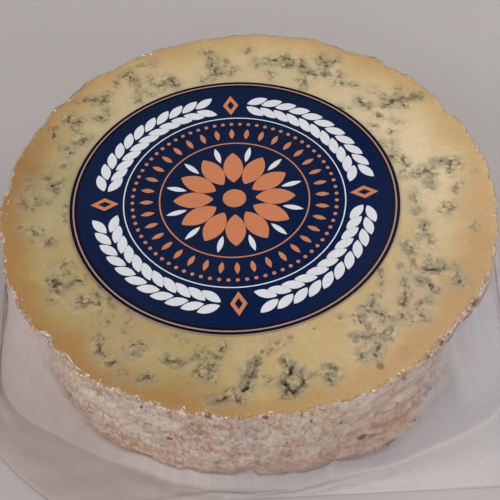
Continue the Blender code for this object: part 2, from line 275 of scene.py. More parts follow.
# Patches of the rind: azimuth in degrees, then height, half length, half height in mm, and strength
PATCHES = {
    "flush": (
        (-103.4, 38.4, 5.5, 4.5, 1.0), (-105.3, 29.5, 4.5, 4.0, 0.8), (-97.0, 43.0, 5.0, 2.5, 0.9),
        (-98.3, 33.0, 7.0, 2.5, 0.6), (-82.0, 9.0, 26.0, 9.0, 0.85), (-66.0, 20.0, 13.0, 9.0, 0.75),
        (-57.0, 24.0, 8.0, 8.0, 0.8), (-123.0, 17.5, 9.0, 3.0, 0.7), (-92.0, 41.0, 5.0, 2.5, 0.5),
        (-138.0, 16.0, 8.0, 5.0, 0.5), (-48.0, 40.0, 6.0, 3.5, 0.7),
        (-41.0, 49.0, 17.0, 4.0, 1.3),
    ),
    "tan": (
        (-113.0, 10.5, 10.0, 5.5, 1.0), (-121.0, 9.0, 10.0, 4.5, 0.8), (-130.0, 7.5, 14.0, 4.5, 1.0),
        (-77.2, 41.7, 3.6, 2.2, 1.2), (-93.2, 28.0, 4.5, 1.8, 0.9), (-57.5, 14.0, 7.0, 5.0, 0.9),
        (-70.0, 14.0, 6.0, 4.0, 0.5), (-103.5, 48.0, 4.0, 2.0, 0.6), (-95.5, 48.0, 3.0, 2.0, 0.8),
    ),
    "chalk": (
        (-67.2, 45.5, 8.5, 3.6, 1.2), (-82.5, 44.7, 5.0, 2.2, 1.0), (-110.0, 39.0, 10.0, 4.5, 1.1),
        (-126.0, 34.0, 12.0, 7.0, 1.0), (-88.0, 33.0, 10.0, 3.5, 0.4), (-118.0, 26.0, 9.0, 4.0, 0.9),
    ),
    "smooth": (
        (-60.0, 28.0, 20.0, 22.0, 1.0), (-72.0, 11.0, 20.0, 9.0, 0.7), (-87.0, 7.0, 24.0, 6.0, 0.8),
    ),
    "hole": (
        (-109.4, 27.7, 1.2, 1.1, 1.0), (-97.9, 42.2, 1.3, 1.0, 1.0), (-67.9, 18.5, 3.0, 1.5, 1.0),
        (-60.2, 6.0, 2.6, 2.0, 1.0), (-50.0, 22.5, 3.2, 2.4, 0.9), (-100.4, 48.4, 1.2, 1.5, 1.3),
        (-88.7, 48.2, 1.1, 1.5, 1.1), (-79.0, 23.0, 2.2, 0.9, 0.8), (-131.0, 33.0, 2.6, 1.2, 0.7),
        (-83.0, 19.5, 2.2, 0.8, 0.7), (-114.0, 33.5, 1.6, 0.8, 0.7), (-90.5, 24.5, 1.8, 0.7, 0.7),
        (-32.6, 49.4, 1.8, 1.6, 1.2), (-46.0, 49.2, 1.4, 1.0, 0.9), (-51.0, 49.4, 1.2, 1.0, 0.9),
        (-37.5, 48.0, 1.4, 1.2, 0.9),
    ),
}


def linear(colour: Colour) -> tuple[float, float, float, float]:
    """Turn display values of 0 to 255 into the opaque linear colour that shaders take."""
    shares = [channel / 255.0 for channel in colour]
    return (*[v / 12.92 if v <= 0.04045 else ((v + 0.055) / 1.055) ** 2.4 for v in shares], 1.0)


def smooth_step(value: float) -> float:
    """Ease a value between 0 and 1, held at those ends."""
    share = min(max(value, 0.0), 1.0)
    return share * share * (3.0 - 2.0 * share)


def in_degrees(azimuth: float) -> float:
    """Turn an azimuth in radians into degrees from -180 to 180."""
    return (math.degrees(azimuth) + 180.0) % 360.0 - 180.0


def by_azimuth(table: Sequence[tuple[float, float]], azimuth: float) -> float:
    """Read a table of degrees and values at an azimuth in radians."""
    return float(np.interp(in_degrees(azimuth), *zip(*table)))


@dataclass(frozen=True)
class Wire:
    """A value in a node tree, which formulas can use like a number."""

    graph: "Graph"
    socket: bpy.types.NodeSocket

    def __add__(self, other: "Feed") -> "Wire":
        """Add a value."""
        return self.graph.math("ADD", self, other)

    def __sub__(self, other: "Feed") -> "Wire":
        """Take a value away."""
        return self.graph.math("SUBTRACT", self, other)

    def __rsub__(self, other: float) -> "Wire":
        """Take this value away from a number."""
        return self.graph.math("SUBTRACT", other, self)

    def __mul__(self, other: "Feed") -> "Wire":
        """Multiply by a value."""
        return self.graph.math("MULTIPLY", self, other)

    def __truediv__(self, other: "Feed") -> "Wire":
        """Divide by a value."""
        return self.graph.math("DIVIDE", self, other)

    def ramp(self, low: "Feed", high: "Feed", start: "Feed" = 0.0, end: "Feed" = 1.0) -> "Wire":
        """Ease from a start to an end while this value runs from low to high.

        Args:
            low: Where the start is held up to.
            high: Where the end is held from; it may lie below low.
            start: The value at low.
            end: The value at high.

        Returns:
            The eased value.
        """
        node = self.graph.add("ShaderNodeMapRange", {"interpolation_type": "SMOOTHSTEP"})
        for socket, value in zip(node.inputs, (self, low, high, start, end)):
            self.graph.feed(socket, value)
        return Wire(self.graph, node.outputs[0])


Feed = Wire | float | int | tuple | str


@dataclass
class Graph:
    """A shader or geometry node tree, with short ways of adding to it.

    Both kinds of tree share their math and texture nodes, so one rule can be written once and placed
    in either. Places and sizes of cells are in millimetres.
    """

    tree: bpy.types.NodeTree
    source: bpy.types.Node | None = None
    sink: bpy.types.Node | None = None

    @property
    def shades(self) -> bool:
        """Whether this is a shader tree."""
        return self.tree.bl_idname == "ShaderNodeTree"

    def feed(self, socket: bpy.types.NodeSocket, value: Feed) -> None:
        """Link a socket to a wire, or set its own value.

        Args:
            socket: An input.
            value: The wire or the value.
        """
        if isinstance(value, Wire):
            self.tree.links.new(value.socket, socket)
        else:
            socket.default_value = value

    def set(self, node: bpy.types.Node, **inputs: Feed) -> bpy.types.Node:
        """Feed a node's inputs, named with a low line for each space.

        Args:
            node: The node.
            inputs: Values or wires by name.

        Returns:
            The same node.
        """
        for name, value in inputs.items():
            self.feed(node.inputs[name.replace("_", " ")], value)
        return node

    def add(self, kind: str, settings: dict[str, object] | None = None, **inputs: Feed) -> bpy.types.Node:
        """Add a node.

        Args:
            kind: Its type's identifier.
            settings: Its properties.
            inputs: Values or wires for its inputs.

        Returns:
            The node.
        """
        node = self.tree.nodes.new(kind)
        for name, value in (settings or {}).items():
            setattr(node, name, value)
        return self.set(node, **inputs)

    def out(
        self, kind: str, output: str | int = 0, settings: dict[str, object] | None = None, **inputs: Feed
    ) -> Wire:
        """Add a node and return the wire from one of its outputs."""
        return Wire(self, self.add(kind, settings, **inputs).outputs[output])

    def given(self, name: str) -> Wire:
        """One of the tree's own inputs."""
        return Wire(self, self.source.outputs[name])

    def math(self, operation: str, *values: Feed) -> Wire:
        """Add a math node.

        Args:
            operation: What it works out.
            values: Its inputs.

        Returns:
            Its result.
        """
        node = self.add("ShaderNodeMath", {"operation": operation})
        for socket, value in zip(node.inputs, values):
            self.feed(socket, value)
        return Wire(self, node.outputs[0])

    def vector(self, operation: str, *values: Feed) -> Wire:
        """Add a vector math node.

        Args:
            operation: What it works out.
            values: Its inputs.

        Returns:
            Its vector, or its number for a length or a dot product.
        """
        node = self.add("ShaderNodeVectorMath", {"operation": operation})
        for socket, value in zip(node.inputs, values):
            self.feed(socket, value)
        return Wire(self, node.outputs["Value" if operation in ("LENGTH", "DOT_PRODUCT") else "Vector"])

    def most(self, first: Feed, *others: Feed) -> Wire:
        """The largest of some values."""
        return reduce(lambda largest, value: self.math("MAXIMUM", largest, value), others, first)

    def xyz(self, place: Feed) -> tuple[Wire, Wire, Wire]:
        """The three parts of a position."""
        x, y, z = self.add("ShaderNodeSeparateXYZ", Vector=place).outputs
        return Wire(self, x), Wire(self, y), Wire(self, z)

    def combine(self, x: Feed = 0.0, y: Feed = 0.0, z: Feed = 0.0) -> Wire:
        """A position from its three parts."""
        return self.out("ShaderNodeCombineXYZ", X=x, Y=y, Z=z)

    def place(self) -> Wire:
        """Position in millimetres: on the object in a material, in the mesh in a geometry tree."""
        kind, output = ("ShaderNodeTexCoord", "Object") if self.shades else ("GeometryNodeInputPosition", 0)
        return self.vector("MULTIPLY", self.out(kind, output), (1.0 / MM,) * 3)

    def attribute(self, name: str) -> Wire:
        """A number stored on the mesh.

        Args:
            name: Its name.

        Returns:
            The number.
        """
        if self.shades:
            return self.out("ShaderNodeAttribute", "Fac", {"attribute_name": name})
        return self.out("GeometryNodeInputNamedAttribute", Name=name)

    def radius(self, place: Feed) -> Wire:
        """Distance of a position from the upright axis."""
        x, y, _ = self.xyz(place)
        return self.vector("LENGTH", self.combine(x, y))

    def between(self, share: Wire, first: Wire, second: Wire) -> Wire:
        """A number that goes from the first to the second as the share goes from 0 to 1."""
        return first + share * (second - first)

    def blend(self, share: Feed, first: Feed, second: Feed, kind: str = "MIX") -> Wire:
        """Mix two colours.

        Args:
            share: How much of the second one.
            first: Display values, or a wire.
            second: Display values, or a wire.
            kind: The blend type.

        Returns:
            The colour.
        """
        node = self.add("ShaderNodeMix", {"data_type": "RGBA", "blend_type": kind})
        for index, value in ((0, share), (6, first), (7, second)):
            self.feed(node.inputs[index], linear(value) if isinstance(value, tuple) else value)
        return Wire(self, node.outputs[2])

    def layers(self, under: Feed, *over: tuple[Feed, Feed]) -> Wire:
        """Lay colours over one another, each given after its share."""
        return reduce(lambda below, layer: self.blend(layer[0], below, layer[1]), over, under)

    def noise(self, place: Feed, cell: float, detail: Feed = 2.0, roughness: Feed = 0.5) -> Wire:
        """Noise of 0 to 1 whose cells are about as wide as given."""
        inputs = {"Scale": 1.0 / cell, "Detail": detail, "Roughness": roughness}
        return self.out("ShaderNodeTexNoise", Vector=place, **inputs)

    def wall_noise(
        self, place: Feed, length: float, rise: float, detail: float = 3.0, roughness: float = 0.6
    ) -> Wire:
        """Noise of 0 to 1 that is drawn out round the upright axis, from a shared node group.

        Args:
            place: The position.
            length: Length of a cell along the wall.
            rise: Height of a cell up the wall.
            detail: Detail of the noise.
            roughness: Roughness of the noise.

        Returns:
            The noise.
        """
        kind = self.tree.bl_idname
        name = f"wall_noise_{kind}"
        group = bpy.data.node_groups.get(name) or wall_noise_group(kind, name)
        cells = RIM_MM / length
        inputs = {"Place": place, "Cells": cells, "Rise": rise, "Detail": detail, "Roughness": roughness}
        return self.out(kind.replace("Tree", "Group"), 0, {"node_tree": group}, **inputs)

    def dots(self, place: Feed, cell: float, radius: float, share: float) -> Wire:
        """Scattered round dots: 1 in a dot and 0 between them.

        Args:
            place: The position.
            cell: Typical distance between dots.
            radius: Radius of the largest dots.
            share: How many of the possible dots there are, from 0 to 1.

        Returns:
            The mask.
        """
        cells = self.add("ShaderNodeTexVoronoi", Vector=place, Scale=1.0 / cell)
        chance, spread, _ = self.xyz(Wire(self, cells.outputs["Color"]))
        size = spread * (0.6 * radius / cell) + 0.4 * radius / cell
        full = Wire(self, cells.outputs["Distance"]).ramp(size, size * 0.45)
        return full * self.math("LESS_THAN", chance, share)

    def bump(self, height: Feed, strength: float, distance: float = MM) -> Wire:
        """Normal of a relief whose height is given in units of a distance in metres."""
        return self.out("ShaderNodeBump", Strength=strength, Distance=distance, Height=height)

    def pushed(self, geometry: Feed, distance: Feed, above: float = -1.0) -> Wire:
        """Move a mesh's points along their normals.

        Args:
            geometry: The mesh.
            distance: How far outwards, in metres.
            above: Height in metres below which points stay.

        Returns:
            The moved mesh.
        """
        high = self.math("GREATER_THAN", self.xyz(self.out("GeometryNodeInputPosition"))[2], above)
        offset = self.vector("MULTIPLY", self.out("GeometryNodeInputNormal"), distance)
        return self.out("GeometryNodeSetPosition", Geometry=geometry, Selection=high, Offset=offset)

    def close(self, geometry: Feed) -> bpy.types.NodeTree:
        """End a geometry tree.

        Args:
            geometry: Its result.

        Returns:
            The tree, with its instances realized and its material set.
        """
        real = self.out("GeometryNodeRealizeInstances", Geometry=geometry)
        dressed = self.out("GeometryNodeSetMaterial", Geometry=real, Material=self.given("Material"))
        self.set(self.sink, Geometry=dressed)
        return self.tree


def new_group(kind: str, name: str, takes: dict[str, float | str], gives: dict[str, str]) -> Graph:
    """Start a node group.

    Args:
        kind: Type of the tree.
        name: Its name.
        takes: Its inputs, each as a type of socket or as the default of a number.
        gives: Its outputs and their types of socket.

    Returns:
        The group's graph.
    """
    tree = bpy.data.node_groups.new(name, kind)
    for key, value in takes.items():
        number = "Int" if isinstance(value, int) else "Float"
        socket_type = "NodeSocket" + (value if isinstance(value, str) else number)
        socket = tree.interface.new_socket(key, in_out="INPUT", socket_type=socket_type)
        if not isinstance(value, str):
            socket.default_value = value
    for key, value in gives.items():
        tree.interface.new_socket(key, in_out="OUTPUT", socket_type="NodeSocket" + value)
    return Graph(tree, tree.nodes.new("NodeGroupInput"), tree.nodes.new("NodeGroupOutput"))


def wall_noise_group(kind: str, name: str) -> bpy.types.NodeTree:
    """Build the group for noise that is drawn out round the upright axis.

    Its inputs are the place, the cells along the wall per radian, the height of a cell, and the
    detail and roughness of the noise.

    Args:
        kind: Type of the tree.
        name: Its name.

    Returns:
        The tree.
    """
    takes = {"Place": "Vector", "Cells": 10.0, "Rise": 10.0, "Detail": 3.0, "Roughness": 0.6}
    graph = new_group(kind, name, takes, {"Noise": "Float"})
    x, y, z = graph.xyz(graph.given("Place"))
    outward = graph.vector("NORMALIZE", graph.combine(x, y))
    turned = graph.vector("MULTIPLY", outward, graph.given("Cells"))
    place = graph.vector("ADD", turned, graph.combine(z=z / graph.given("Rise")))
    graph.set(graph.sink, Noise=graph.noise(place, 1.0, graph.given("Detail"), graph.given("Roughness")))
    return graph.tree


def new_rule(name: str, numbers: dict[str, float]) -> Graph:
    """Start a geometry tree that takes a geometry, a material and named numbers with their defaults."""
    takes = {"Geometry": "Geometry", "Material": "Material"} | numbers
    return new_group("GeometryNodeTree", name, takes, {"Geometry": "Geometry"})


def apply_rule(
    piece: bpy.types.Object, tree: bpy.types.NodeTree, material: bpy.types.Material, **numbers: float
) -> bpy.types.Object:
    """Run a tree on a piece and keep the result as its plain mesh.

    Args:
        piece: The object.
        tree: The geometry node tree.
        material: Its Material input.
        numbers: Other inputs by name, with a low line for each space.

    Returns:
        The piece, without the modifier.
    """
    modifier = piece.modifiers.new(tree.name, "NODES")
    modifier.node_group = tree
    values = {key.replace("_", " "): value for key, value in numbers.items()} | {"Material": material}
    for item in tree.interface.items_tree:
        if item.in_out == "INPUT" and item.name in values:
            modifier[item.identifier] = values[item.name]
    depsgraph = bpy.context.evaluated_depsgraph_get()
    mesh = bpy.data.meshes.new_from_object(piece.evaluated_get(depsgraph))
    piece.modifiers.remove(modifier)
    piece.data = mesh
    mesh.name = piece.name
    return piece


def new_material(name: str) -> tuple[bpy.types.Material, Graph, bpy.types.Node]:
    """Start a material.

    Args:
        name: Its name.

    Returns:
        The material, its graph and its Principled node.
    """
    material = bpy.data.materials.new(name)
    material.use_nodes = True
    return material, Graph(material.node_tree), material.node_tree.nodes["Principled BSDF"]


def plain_piece(
    name: str, mesh: bpy.types.Mesh, material: bpy.types.Material | None = None
) -> bpy.types.Object:
    """Put a mesh in the scene.

    Args:
        name: Name of the piece.
        mesh: Its mesh.
        material: Its material, if it has but one.

    Returns:
        The object, at the origin.
    """
    piece = bpy.data.objects.new(name, mesh)
    bpy.context.scene.collection.objects.link(piece)
    if material is not None:
        mesh.materials.append(material)
    return piece


def grid_mesh(name: str, rings: np.ndarray) -> bpy.types.Mesh:
    """Closed mesh through stacked rings, with a pole at each end.

    Args:
        name: Name of the mesh.
        rings: Points as rings by segments by 3; the first and the last ring are closed to a pole.

    Returns:
        The mesh, its faces outward for rings that run from the underside up the outside to the top.
    """
    count, segments, _ = rings.shape
    poles = np.stack([rings[0].mean(0), rings[-1].mean(0)])
    points = np.concatenate([rings.reshape(-1, 3), poles])
    here = np.arange(segments)
    after = (here + 1) % segments
    starts = (np.arange(count - 1) * segments)[:, None]
    quads = np.stack([starts + here, starts + after, starts + segments + after, starts + segments + here], -1)
    last = (count - 1) * segments
    low_fan = np.stack([after, here, np.full(segments, count * segments)], -1)
    high_fan = np.stack([last + here, last + after, np.full(segments, count * segments + 1)], -1)
    faces = [*quads.reshape(-1, 4).tolist(), *low_fan.tolist(), *high_fan.tolist()]
    mesh = bpy.data.meshes.new(name)
    mesh.from_pydata(points.tolist(), [], faces)
    mesh.shade_smooth()
    return mesh


def set_attribute(mesh: bpy.types.Mesh, name: str, values: np.ndarray) -> None:
    """Store a number for each vertex of a mesh."""
    layer = mesh.attributes.new(name, "FLOAT", "POINT")
    layer.data.foreach_set("value", values.astype(np.float32))


@dataclass(frozen=True)
class CheeseShape:
    """Sizes of the cheese and the rules of its surface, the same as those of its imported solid."""

    height: float = 50.0 * MM
    rim_radius: float = 105.0 * MM
    base_radius: float = 104.6 * MM
    bulge: float = 0.9 * MM
    foot_round: float = 6.5 * MM
    wobble_depth: float = 1.2 * MM
    wobble_length: float = 22.0 * MM
    sag_middle: float = -59.0
    sag_half_width: float = 9.0
    sag_depth: float = 3.4 * MM
    sag_top: float = 30.0 * MM
    streak_depth: float = 0.7 * MM
    streak_length: float = 17.0 * MM
    streak_height: float = 5.0 * MM
    pit_depth: float = 1.5 * MM
    pit_length: float = 9.0 * MM
    pit_threshold: float = 0.28
    crumb_depth: float = 1.3 * MM
    crumb_length: float = 8.0 * MM
    crumb_band: float = 5.0 * MM
    shoulder: float = 3.5 * MM

    def wall_noise(self, azimuth: float, height: float, length: float, rise: float, shift: float) -> float:
        """Noise on the wall, with cells of one length along it and another up it.

        Args:
            azimuth: Direction in radians.
            height: Height in metres.
            length: Length of a cell along the wall.
            rise: Height of a cell.
            shift: How far off the field is taken, so that two uses differ.

        Returns:
            The noise, about 0.
        """
        reach = self.rim_radius / length
        across, along = reach * math.cos(azimuth) + shift, reach * math.sin(azimuth) + 2.0 * shift
        return noise.noise((across, along, height / rise - shift))

    def wobble(self, azimuth: float) -> float:
        """How far the outline stands out at an azimuth."""
        return self.wobble_depth * self.wall_noise(azimuth, 0.0, self.wobble_length, 1.0, 3.7)

    def profile(self, height: float) -> float:
        """Radius of the smooth wall, with its bulge and its rounded foot.

        Args:
            height: Height in metres.

        Returns:
            The radius.
        """
        share = height / self.height
        widening = (self.rim_radius - self.base_radius) * share
        radius = self.base_radius + widening + self.bulge * math.sin(math.pi * share)
        below = max(self.foot_round - height, 0.0)
        return radius - self.foot_round + math.sqrt(self.foot_round ** 2 - below ** 2)

    def sag(self, azimuth: float, height: float) -> float:
        """How far the soft rind bulges out, full at the foot and fading out above it.

        Args:
            azimuth: Direction in radians.
            height: Height in metres.

        Returns:
            The distance.
        """
        across = math.remainder(math.degrees(azimuth) - self.sag_middle, 360.0) / self.sag_half_width
        fade = smooth_step((self.sag_top - height) / (self.sag_top - self.foot_round))
        return self.sag_depth * fade * math.exp(-(across ** 2))

    def jag(self, azimuth: float) -> float:
        """Noise of the ragged rim at an azimuth."""
        return self.wall_noise(azimuth, 0.0, self.crumb_length, 1.0, 31.1)

    def smooth_radius(self, azimuth: float, height: float) -> float:
        """Radius of the wall without its streaks, pits and crumbs."""
        return self.profile(height) + self.wobble(azimuth) + self.sag(azimuth, height)

    def radius(self, azimuth: float, height: float) -> float:
        """Radius of the cheese.

        Args:
            azimuth: Direction in radians.
            height: Height in metres.

        Returns:
            The radius, with the wall's streaks and pits and the ragged rim.
        """
        rise = self.streak_height
        streak = self.streak_depth * self.wall_noise(azimuth, height, self.streak_length, rise, 11.3)
        hollow = self.wall_noise(azimuth, height, self.pit_length, rise, 23.9) - self.pit_threshold
        pit = self.pit_depth * smooth_step(hollow / self.pit_threshold)
        fade = smooth_step(1.0 - (self.height - height) / self.crumb_band)
        crumble = self.crumb_depth * fade * self.jag(azimuth)
        return self.smooth_radius(azimuth, height) + streak - pit + crumble

    def rim_height(self, azimuth: float) -> float:
        """Height of the rim, lower where crumbs have broken away."""
        return self.height - 0.5 * self.crumb_depth * (0.5 - self.jag(azimuth))

    def film_bed(self, azimuth: float, height: float) -> float:
        """Radius just outside every crag of the wall, where loose film lies."""
        crags = self.streak_depth + 0.5 * self.crumb_depth + 0.3 * MM
        return self.smooth_radius(azimuth, max(height, self.foot_round)) + crags


SHAPE = CheeseShape()
RIM_MM = SHAPE.rim_radius / MM


@dataclass(frozen=True)
class Mould:
    """How the blue mould looks along the veins: ragged lines, in pale haloes with specks; in mm."""

    fine_cell: float = 1.7
    fine_sway: float = 3.6
    wide_cell: float = 4.2
    wide_sway: float = 2.4
    thread_cell: float = 4.6
    speck_cell: float = 2.6
    speck_radius: float = 0.7
    blot_cell: float = 2.8

    def gap(self, graph: Graph, place: Wire) -> Wire:
        """Ragged distance to the nearest vein, in millimetres and below 0 inside it.

        Args:
            graph: The tree to write the rule in.
            place: Position in millimetres.

        Returns:
            The distance.
        """
        fine = graph.noise(place, self.fine_cell, 4.0, 0.62) - 0.5
        wide = graph.noise(place, self.wide_cell) - 0.5
        return wide * self.wide_sway + (fine * self.fine_sway + graph.attribute("vein"))

    def threads(self, graph: Graph, place: Wire) -> Wire:
        """Network of thin broken threads where mould grows, 1 on a thread and 0 off it."""
        ridge = graph.math("ABSOLUTE", graph.noise(place, self.thread_cell, 2.5, 0.55) - 0.5)
        return ridge.ramp(0.045, 0.008) * graph.noise(place, 3.1).ramp(0.47, 0.58)


MOULD = Mould()


@dataclass(frozen=True)
class CheeseFinish:
    """Colours of the paste, its mould and the rind, in one material."""

    cream: Colour = (216, 191, 148)
    straw: Colour = (207, 180, 124)
    butter: Colour = (208, 184, 120)
    blush: Colour = (210, 178, 142)
    pale: Colour = (227, 204, 155)
    curd: Colour = (219, 212, 188)
    young_curd: Colour = (236, 220, 188)
    # Painted shade: multiplied over the paste, most on the left and the back left
    painted_left_shade: Colour = (209, 217, 199)
    tan: Colour = (197, 160, 98)
    amber: Colour = (198, 148, 97)
    halo: Colour = (170, 161, 130)
    milk: Colour = (217, 200, 160)
    ash: Colour = (154, 141, 121)
    smudge: Colour = (124, 110, 76)
    vein: Colour = (96, 82, 44)
    core: Colour = (38, 31, 13)
    spot: Colour = (132, 88, 56)
    # Whitish bloom, also the painted highlight on raised grain
    bloom_and_highlight: Colour = (222, 207, 195)
    rind: Colour = (198, 175, 155)
    lilac: Colour = (190, 172, 162)
    chalk: Colour = (215, 201, 191)
    flush: Colour = (176, 138, 118)
    crust: Colour = (204, 178, 140)
    stain: Colour = (142, 113, 95)
    ochre: Colour = (200, 160, 124)
    pit: Colour = (100, 60, 30)
    shine: float = 0.35

    def paste(self, graph: Graph, place: Wire) -> Wire:
        """Write the colour of the cut face without its mould.

        Args:
            graph: The material's tree.
            place: Position in millimetres.

        Returns:
            The colour.
        """
        x, y, _ = graph.xyz(place)
        radius, amber_and_shade = graph.radius(place), graph.attribute("amber_and_shade")
        clouds = graph.noise(place, 22.0, 3.0)
        # Paler towards the right and the back, partly the paste's own tone and partly painted light on the
        # side the window light falls on; a little paler at the front too
        paler_and_lit = (y * 0.8 + x).ramp(10.0, 100.0) * clouds.ramp(0.3, 0.62, 0.4, 0.95)
        behind, before = y.ramp(5.0, 75.0, 0.0, 0.55), y.ramp(-55.0, -85.0, 0.0, 0.25)
        young = (y * 0.5 + x).ramp(64.0, 84.0)
        inner = radius.ramp(104.0, 72.0) * y.ramp(-30.0, 15.0)
        sway = graph.noise(place, 15.0, 3.0) - 0.5
        edge = sway * 16.0 + (graph.attribute("tan_reach") + radius)
        warm = edge.ramp(97.0, 107.0) * graph.math("MINIMUM", amber_and_shade, 1.0)
        blotched = (sway * 0.9 + graph.attribute("blotch")).ramp(0.35, 0.75, 0.0, 0.6)
        tint = graph.layers(
            self.straw,
            (clouds.ramp(0.4, 0.6), self.cream),
            (graph.noise(place, 36.0, 1.0).ramp(0.52, 0.68, 0.0, 0.75), self.blush),
            (graph.noise(place, 8.5).ramp(0.5, 0.66, 0.0, 0.55), self.butter),
            # Pale paste, partly painted light
            (graph.most(paler_and_lit, behind, before), self.pale),
            (inner * (young * 0.4 + 0.42), graph.blend(young, self.curd, self.young_curd)),
            (edge.ramp(89.0, 105.0) * graph.attribute("tanned"), self.tan),
            (graph.most(warm, blotched), self.amber),
        )
        # Painted shade: the whole paste darker by azimuth, most on the left and the back left
        return graph.blend(amber_and_shade * 0.75, tint, self.painted_left_shade, "MULTIPLY")

    def veined(self, graph: Graph, place: Wire) -> tuple[Wire, Wire, Wire]:
        """Write the looks of the cut face with its mould.

        Args:
            graph: The material's tree.
            place: Position in millimetres.

        Returns:
            Colour, roughness and height in millimetres.
        """
        elsewhere = graph.vector("ADD", place, (31.0, 7.0, 0.0))
        gap, mould = MOULD.gap(graph, place), graph.attribute("mould")
        grain = graph.noise(place, 1.1, 4.0, 0.65)
        soft = graph.noise(place, 3.8, 3.0, 0.55).ramp(0.36, 0.58, 0.12, 1.0)
        dusty = graph.noise(elsewhere, 4.6).ramp(0.46, 0.62) * mould.ramp(0.4, 0.9)
        blots = graph.noise(elsewhere, MOULD.blot_cell, 3.0, 0.55).ramp(0.52, 0.38) * gap.ramp(3.4, 0.2)
        specks = graph.dots(place, MOULD.speck_cell, MOULD.speck_radius, 0.4)
        grown, line = mould.ramp(0.25, 0.7), gap.ramp(0.5, -0.3)
        uneven = graph.noise(elsewhere, 2.3).ramp(0.36, 0.6, 0.35, 1.0)
        heart = gap.ramp(0.05, -0.8) * uneven * 0.85
        faint = grain.ramp(0.35, 0.75, 0.0, 0.2)
        grainy = graph.blend(faint, self.paste(graph, place), self.straw, "MULTIPLY")
        tint = graph.layers(
            grainy,
            (soft.ramp(0.6, 0.12, 0.0, 0.3) * mould.ramp(0.15, 0.8), self.milk),
            (mould * soft, self.halo),
            (dusty * 0.75, self.ash),
            (blots * 0.85, self.smudge),
            (MOULD.threads(graph, place) * grown * 0.6, self.vein),
            (specks * grown * 0.5, self.vein),
            (line * uneven * 0.92, self.vein),
            (graph.most(heart, graph.attribute("crack")), self.core),
            (graph.attribute("spot").ramp(0.35, 0.65, 0.0, 0.8), self.spot),
        )
        return tint, line.ramp(0.0, 1.0, 0.45, 0.75), grain * 0.05 - line * 0.07

    def skin(self, graph: Graph, place: Wire) -> tuple[Wire, Wire, Wire]:
        """Write the looks of the rind.

        Args:
            graph: The material's tree.
            place: Position in millimetres.

        Returns:
            Colour, roughness and height in millimetres.
        """
        grain = graph.noise(graph.vector("MULTIPLY", place, (1.0, 1.0, 0.62)), 1.8, 4.0, 0.64)
        lumps = graph.wall_noise(place, 3.6, 5.8)
        drift = graph.wall_noise(place, 7.5, 9.5, roughness=0.62)
        clouds = graph.wall_noise(place, 16.0, 20.0)
        streaks = graph.wall_noise(place, 12.0, 4.0, 2.0, 0.5)
        ragged = lumps * 2.4 - 1.2
        low, rubbed = graph.xyz(place)[2].ramp(24.0, 4.0), graph.attribute("smooth")
        crisp = 1.0 - rubbed * 0.65
        holes = graph.dots(graph.vector("MULTIPLY", place, (0.7, 0.7, 0.8)), 4.4, 0.7, 0.12)
        cracks = graph.wall_noise(place, 3.8, 5.2, roughness=0.62).ramp(0.66, 0.75)
        pits = graph.most(holes, cracks, self.patch(graph, "hole", ragged, 1.0))
        warm = clouds.ramp(0.57, 0.67, 0.0, 0.6) * low
        tint = graph.layers(
            self.rind,
            (clouds.ramp(0.42, 0.58), self.lilac),
            (drift.ramp(0.52, 0.66, 0.0, 0.75), self.flush),
            (drift.ramp(0.46, 0.32, 0.0, 0.65), self.chalk),
            (self.patch(graph, "chalk", ragged, 0.8), self.chalk),
            (low * 0.2, self.flush),
            (self.patch(graph, "flush", ragged, 0.75), self.flush),
            (lumps.ramp(0.56, 0.68, 0.0, 0.45), self.stain),
            (graph.most(warm, self.patch(graph, "tan", ragged, 0.8)), self.ochre),
            # Partly painted light: over the real mottling, raised grain is painted lighter as a highlight and
            # sunk grain darker as shade
            (grain.ramp(0.46, 0.62, 0.0, 0.75) * crisp, self.bloom_and_highlight),
            (grain.ramp(0.44, 0.32, 0.0, 0.65) * crisp, self.stain),
            (streaks.ramp(0.5, 0.64, 0.0, 0.45) * rubbed, self.stain),
            (streaks.ramp(0.46, 0.34, 0.0, 0.35) * rubbed, self.chalk),
            (pits * 0.85, self.pit),
        )
        return tint, grain.ramp(0.2, 0.8, 0.6, 0.8), (lumps + grain) * crisp - pits * 0.5

    @staticmethod
    def patch(graph: Graph, name: str, ragged: Wire, share: float) -> Wire:
        """Mask of one kind of listed patch, frayed by noise about 0, and full at a share."""
        return (graph.attribute(name) + ragged).ramp(0.4, 0.85, 0.0, share)

    def build(self) -> bpy.types.Material:
        """Make the material: paste on the cut faces, rind on the wall, with a crumbly border.

        Returns:
            The material.
        """
        material, graph, shader = new_material("cheese")
        place, rind = graph.place(), graph.attribute("rind")
        paste, paste_rough, paste_relief = self.veined(graph, place)
        skin, skin_rough, skin_relief = self.skin(graph, place)
        crumbs = graph.noise(place, 2.1, 3.0, 0.62) - 0.5
        bites = graph.noise(place, 5.5) - 0.5
        near_rim = rind.ramp(0.02, 0.25) * rind.ramp(1.0, 0.85)
        torn = (bites * 2.4 + crumbs * 2.2) * near_rim + rind
        share = torn.ramp(0.46, 0.56)
        crust = torn.ramp(0.3, 0.5) * torn.ramp(1.05, 0.6)
        # Painted shade: dark brown lines along the crumbly border stand in for shaded crevices
        painted_crevice_shade = crumbs.ramp(-0.06, -0.16, 0.0, 0.7) * crust
        tint = graph.layers(paste, (share, skin), (crust * 0.55, self.crust), (painted_crevice_shade, self.pit))
        wet = graph.attribute("moist").ramp(0.0, 1.0, 1.0, 0.25)
        rough = graph.between(share, paste_rough, skin_rough) * wet
        normal = graph.bump(graph.between(share, paste_relief, skin_relief), 0.8)
        graph.set(shader, Base_Color=tint, Roughness=rough, Normal=normal, Specular_IOR_Level=self.shine)
        return material


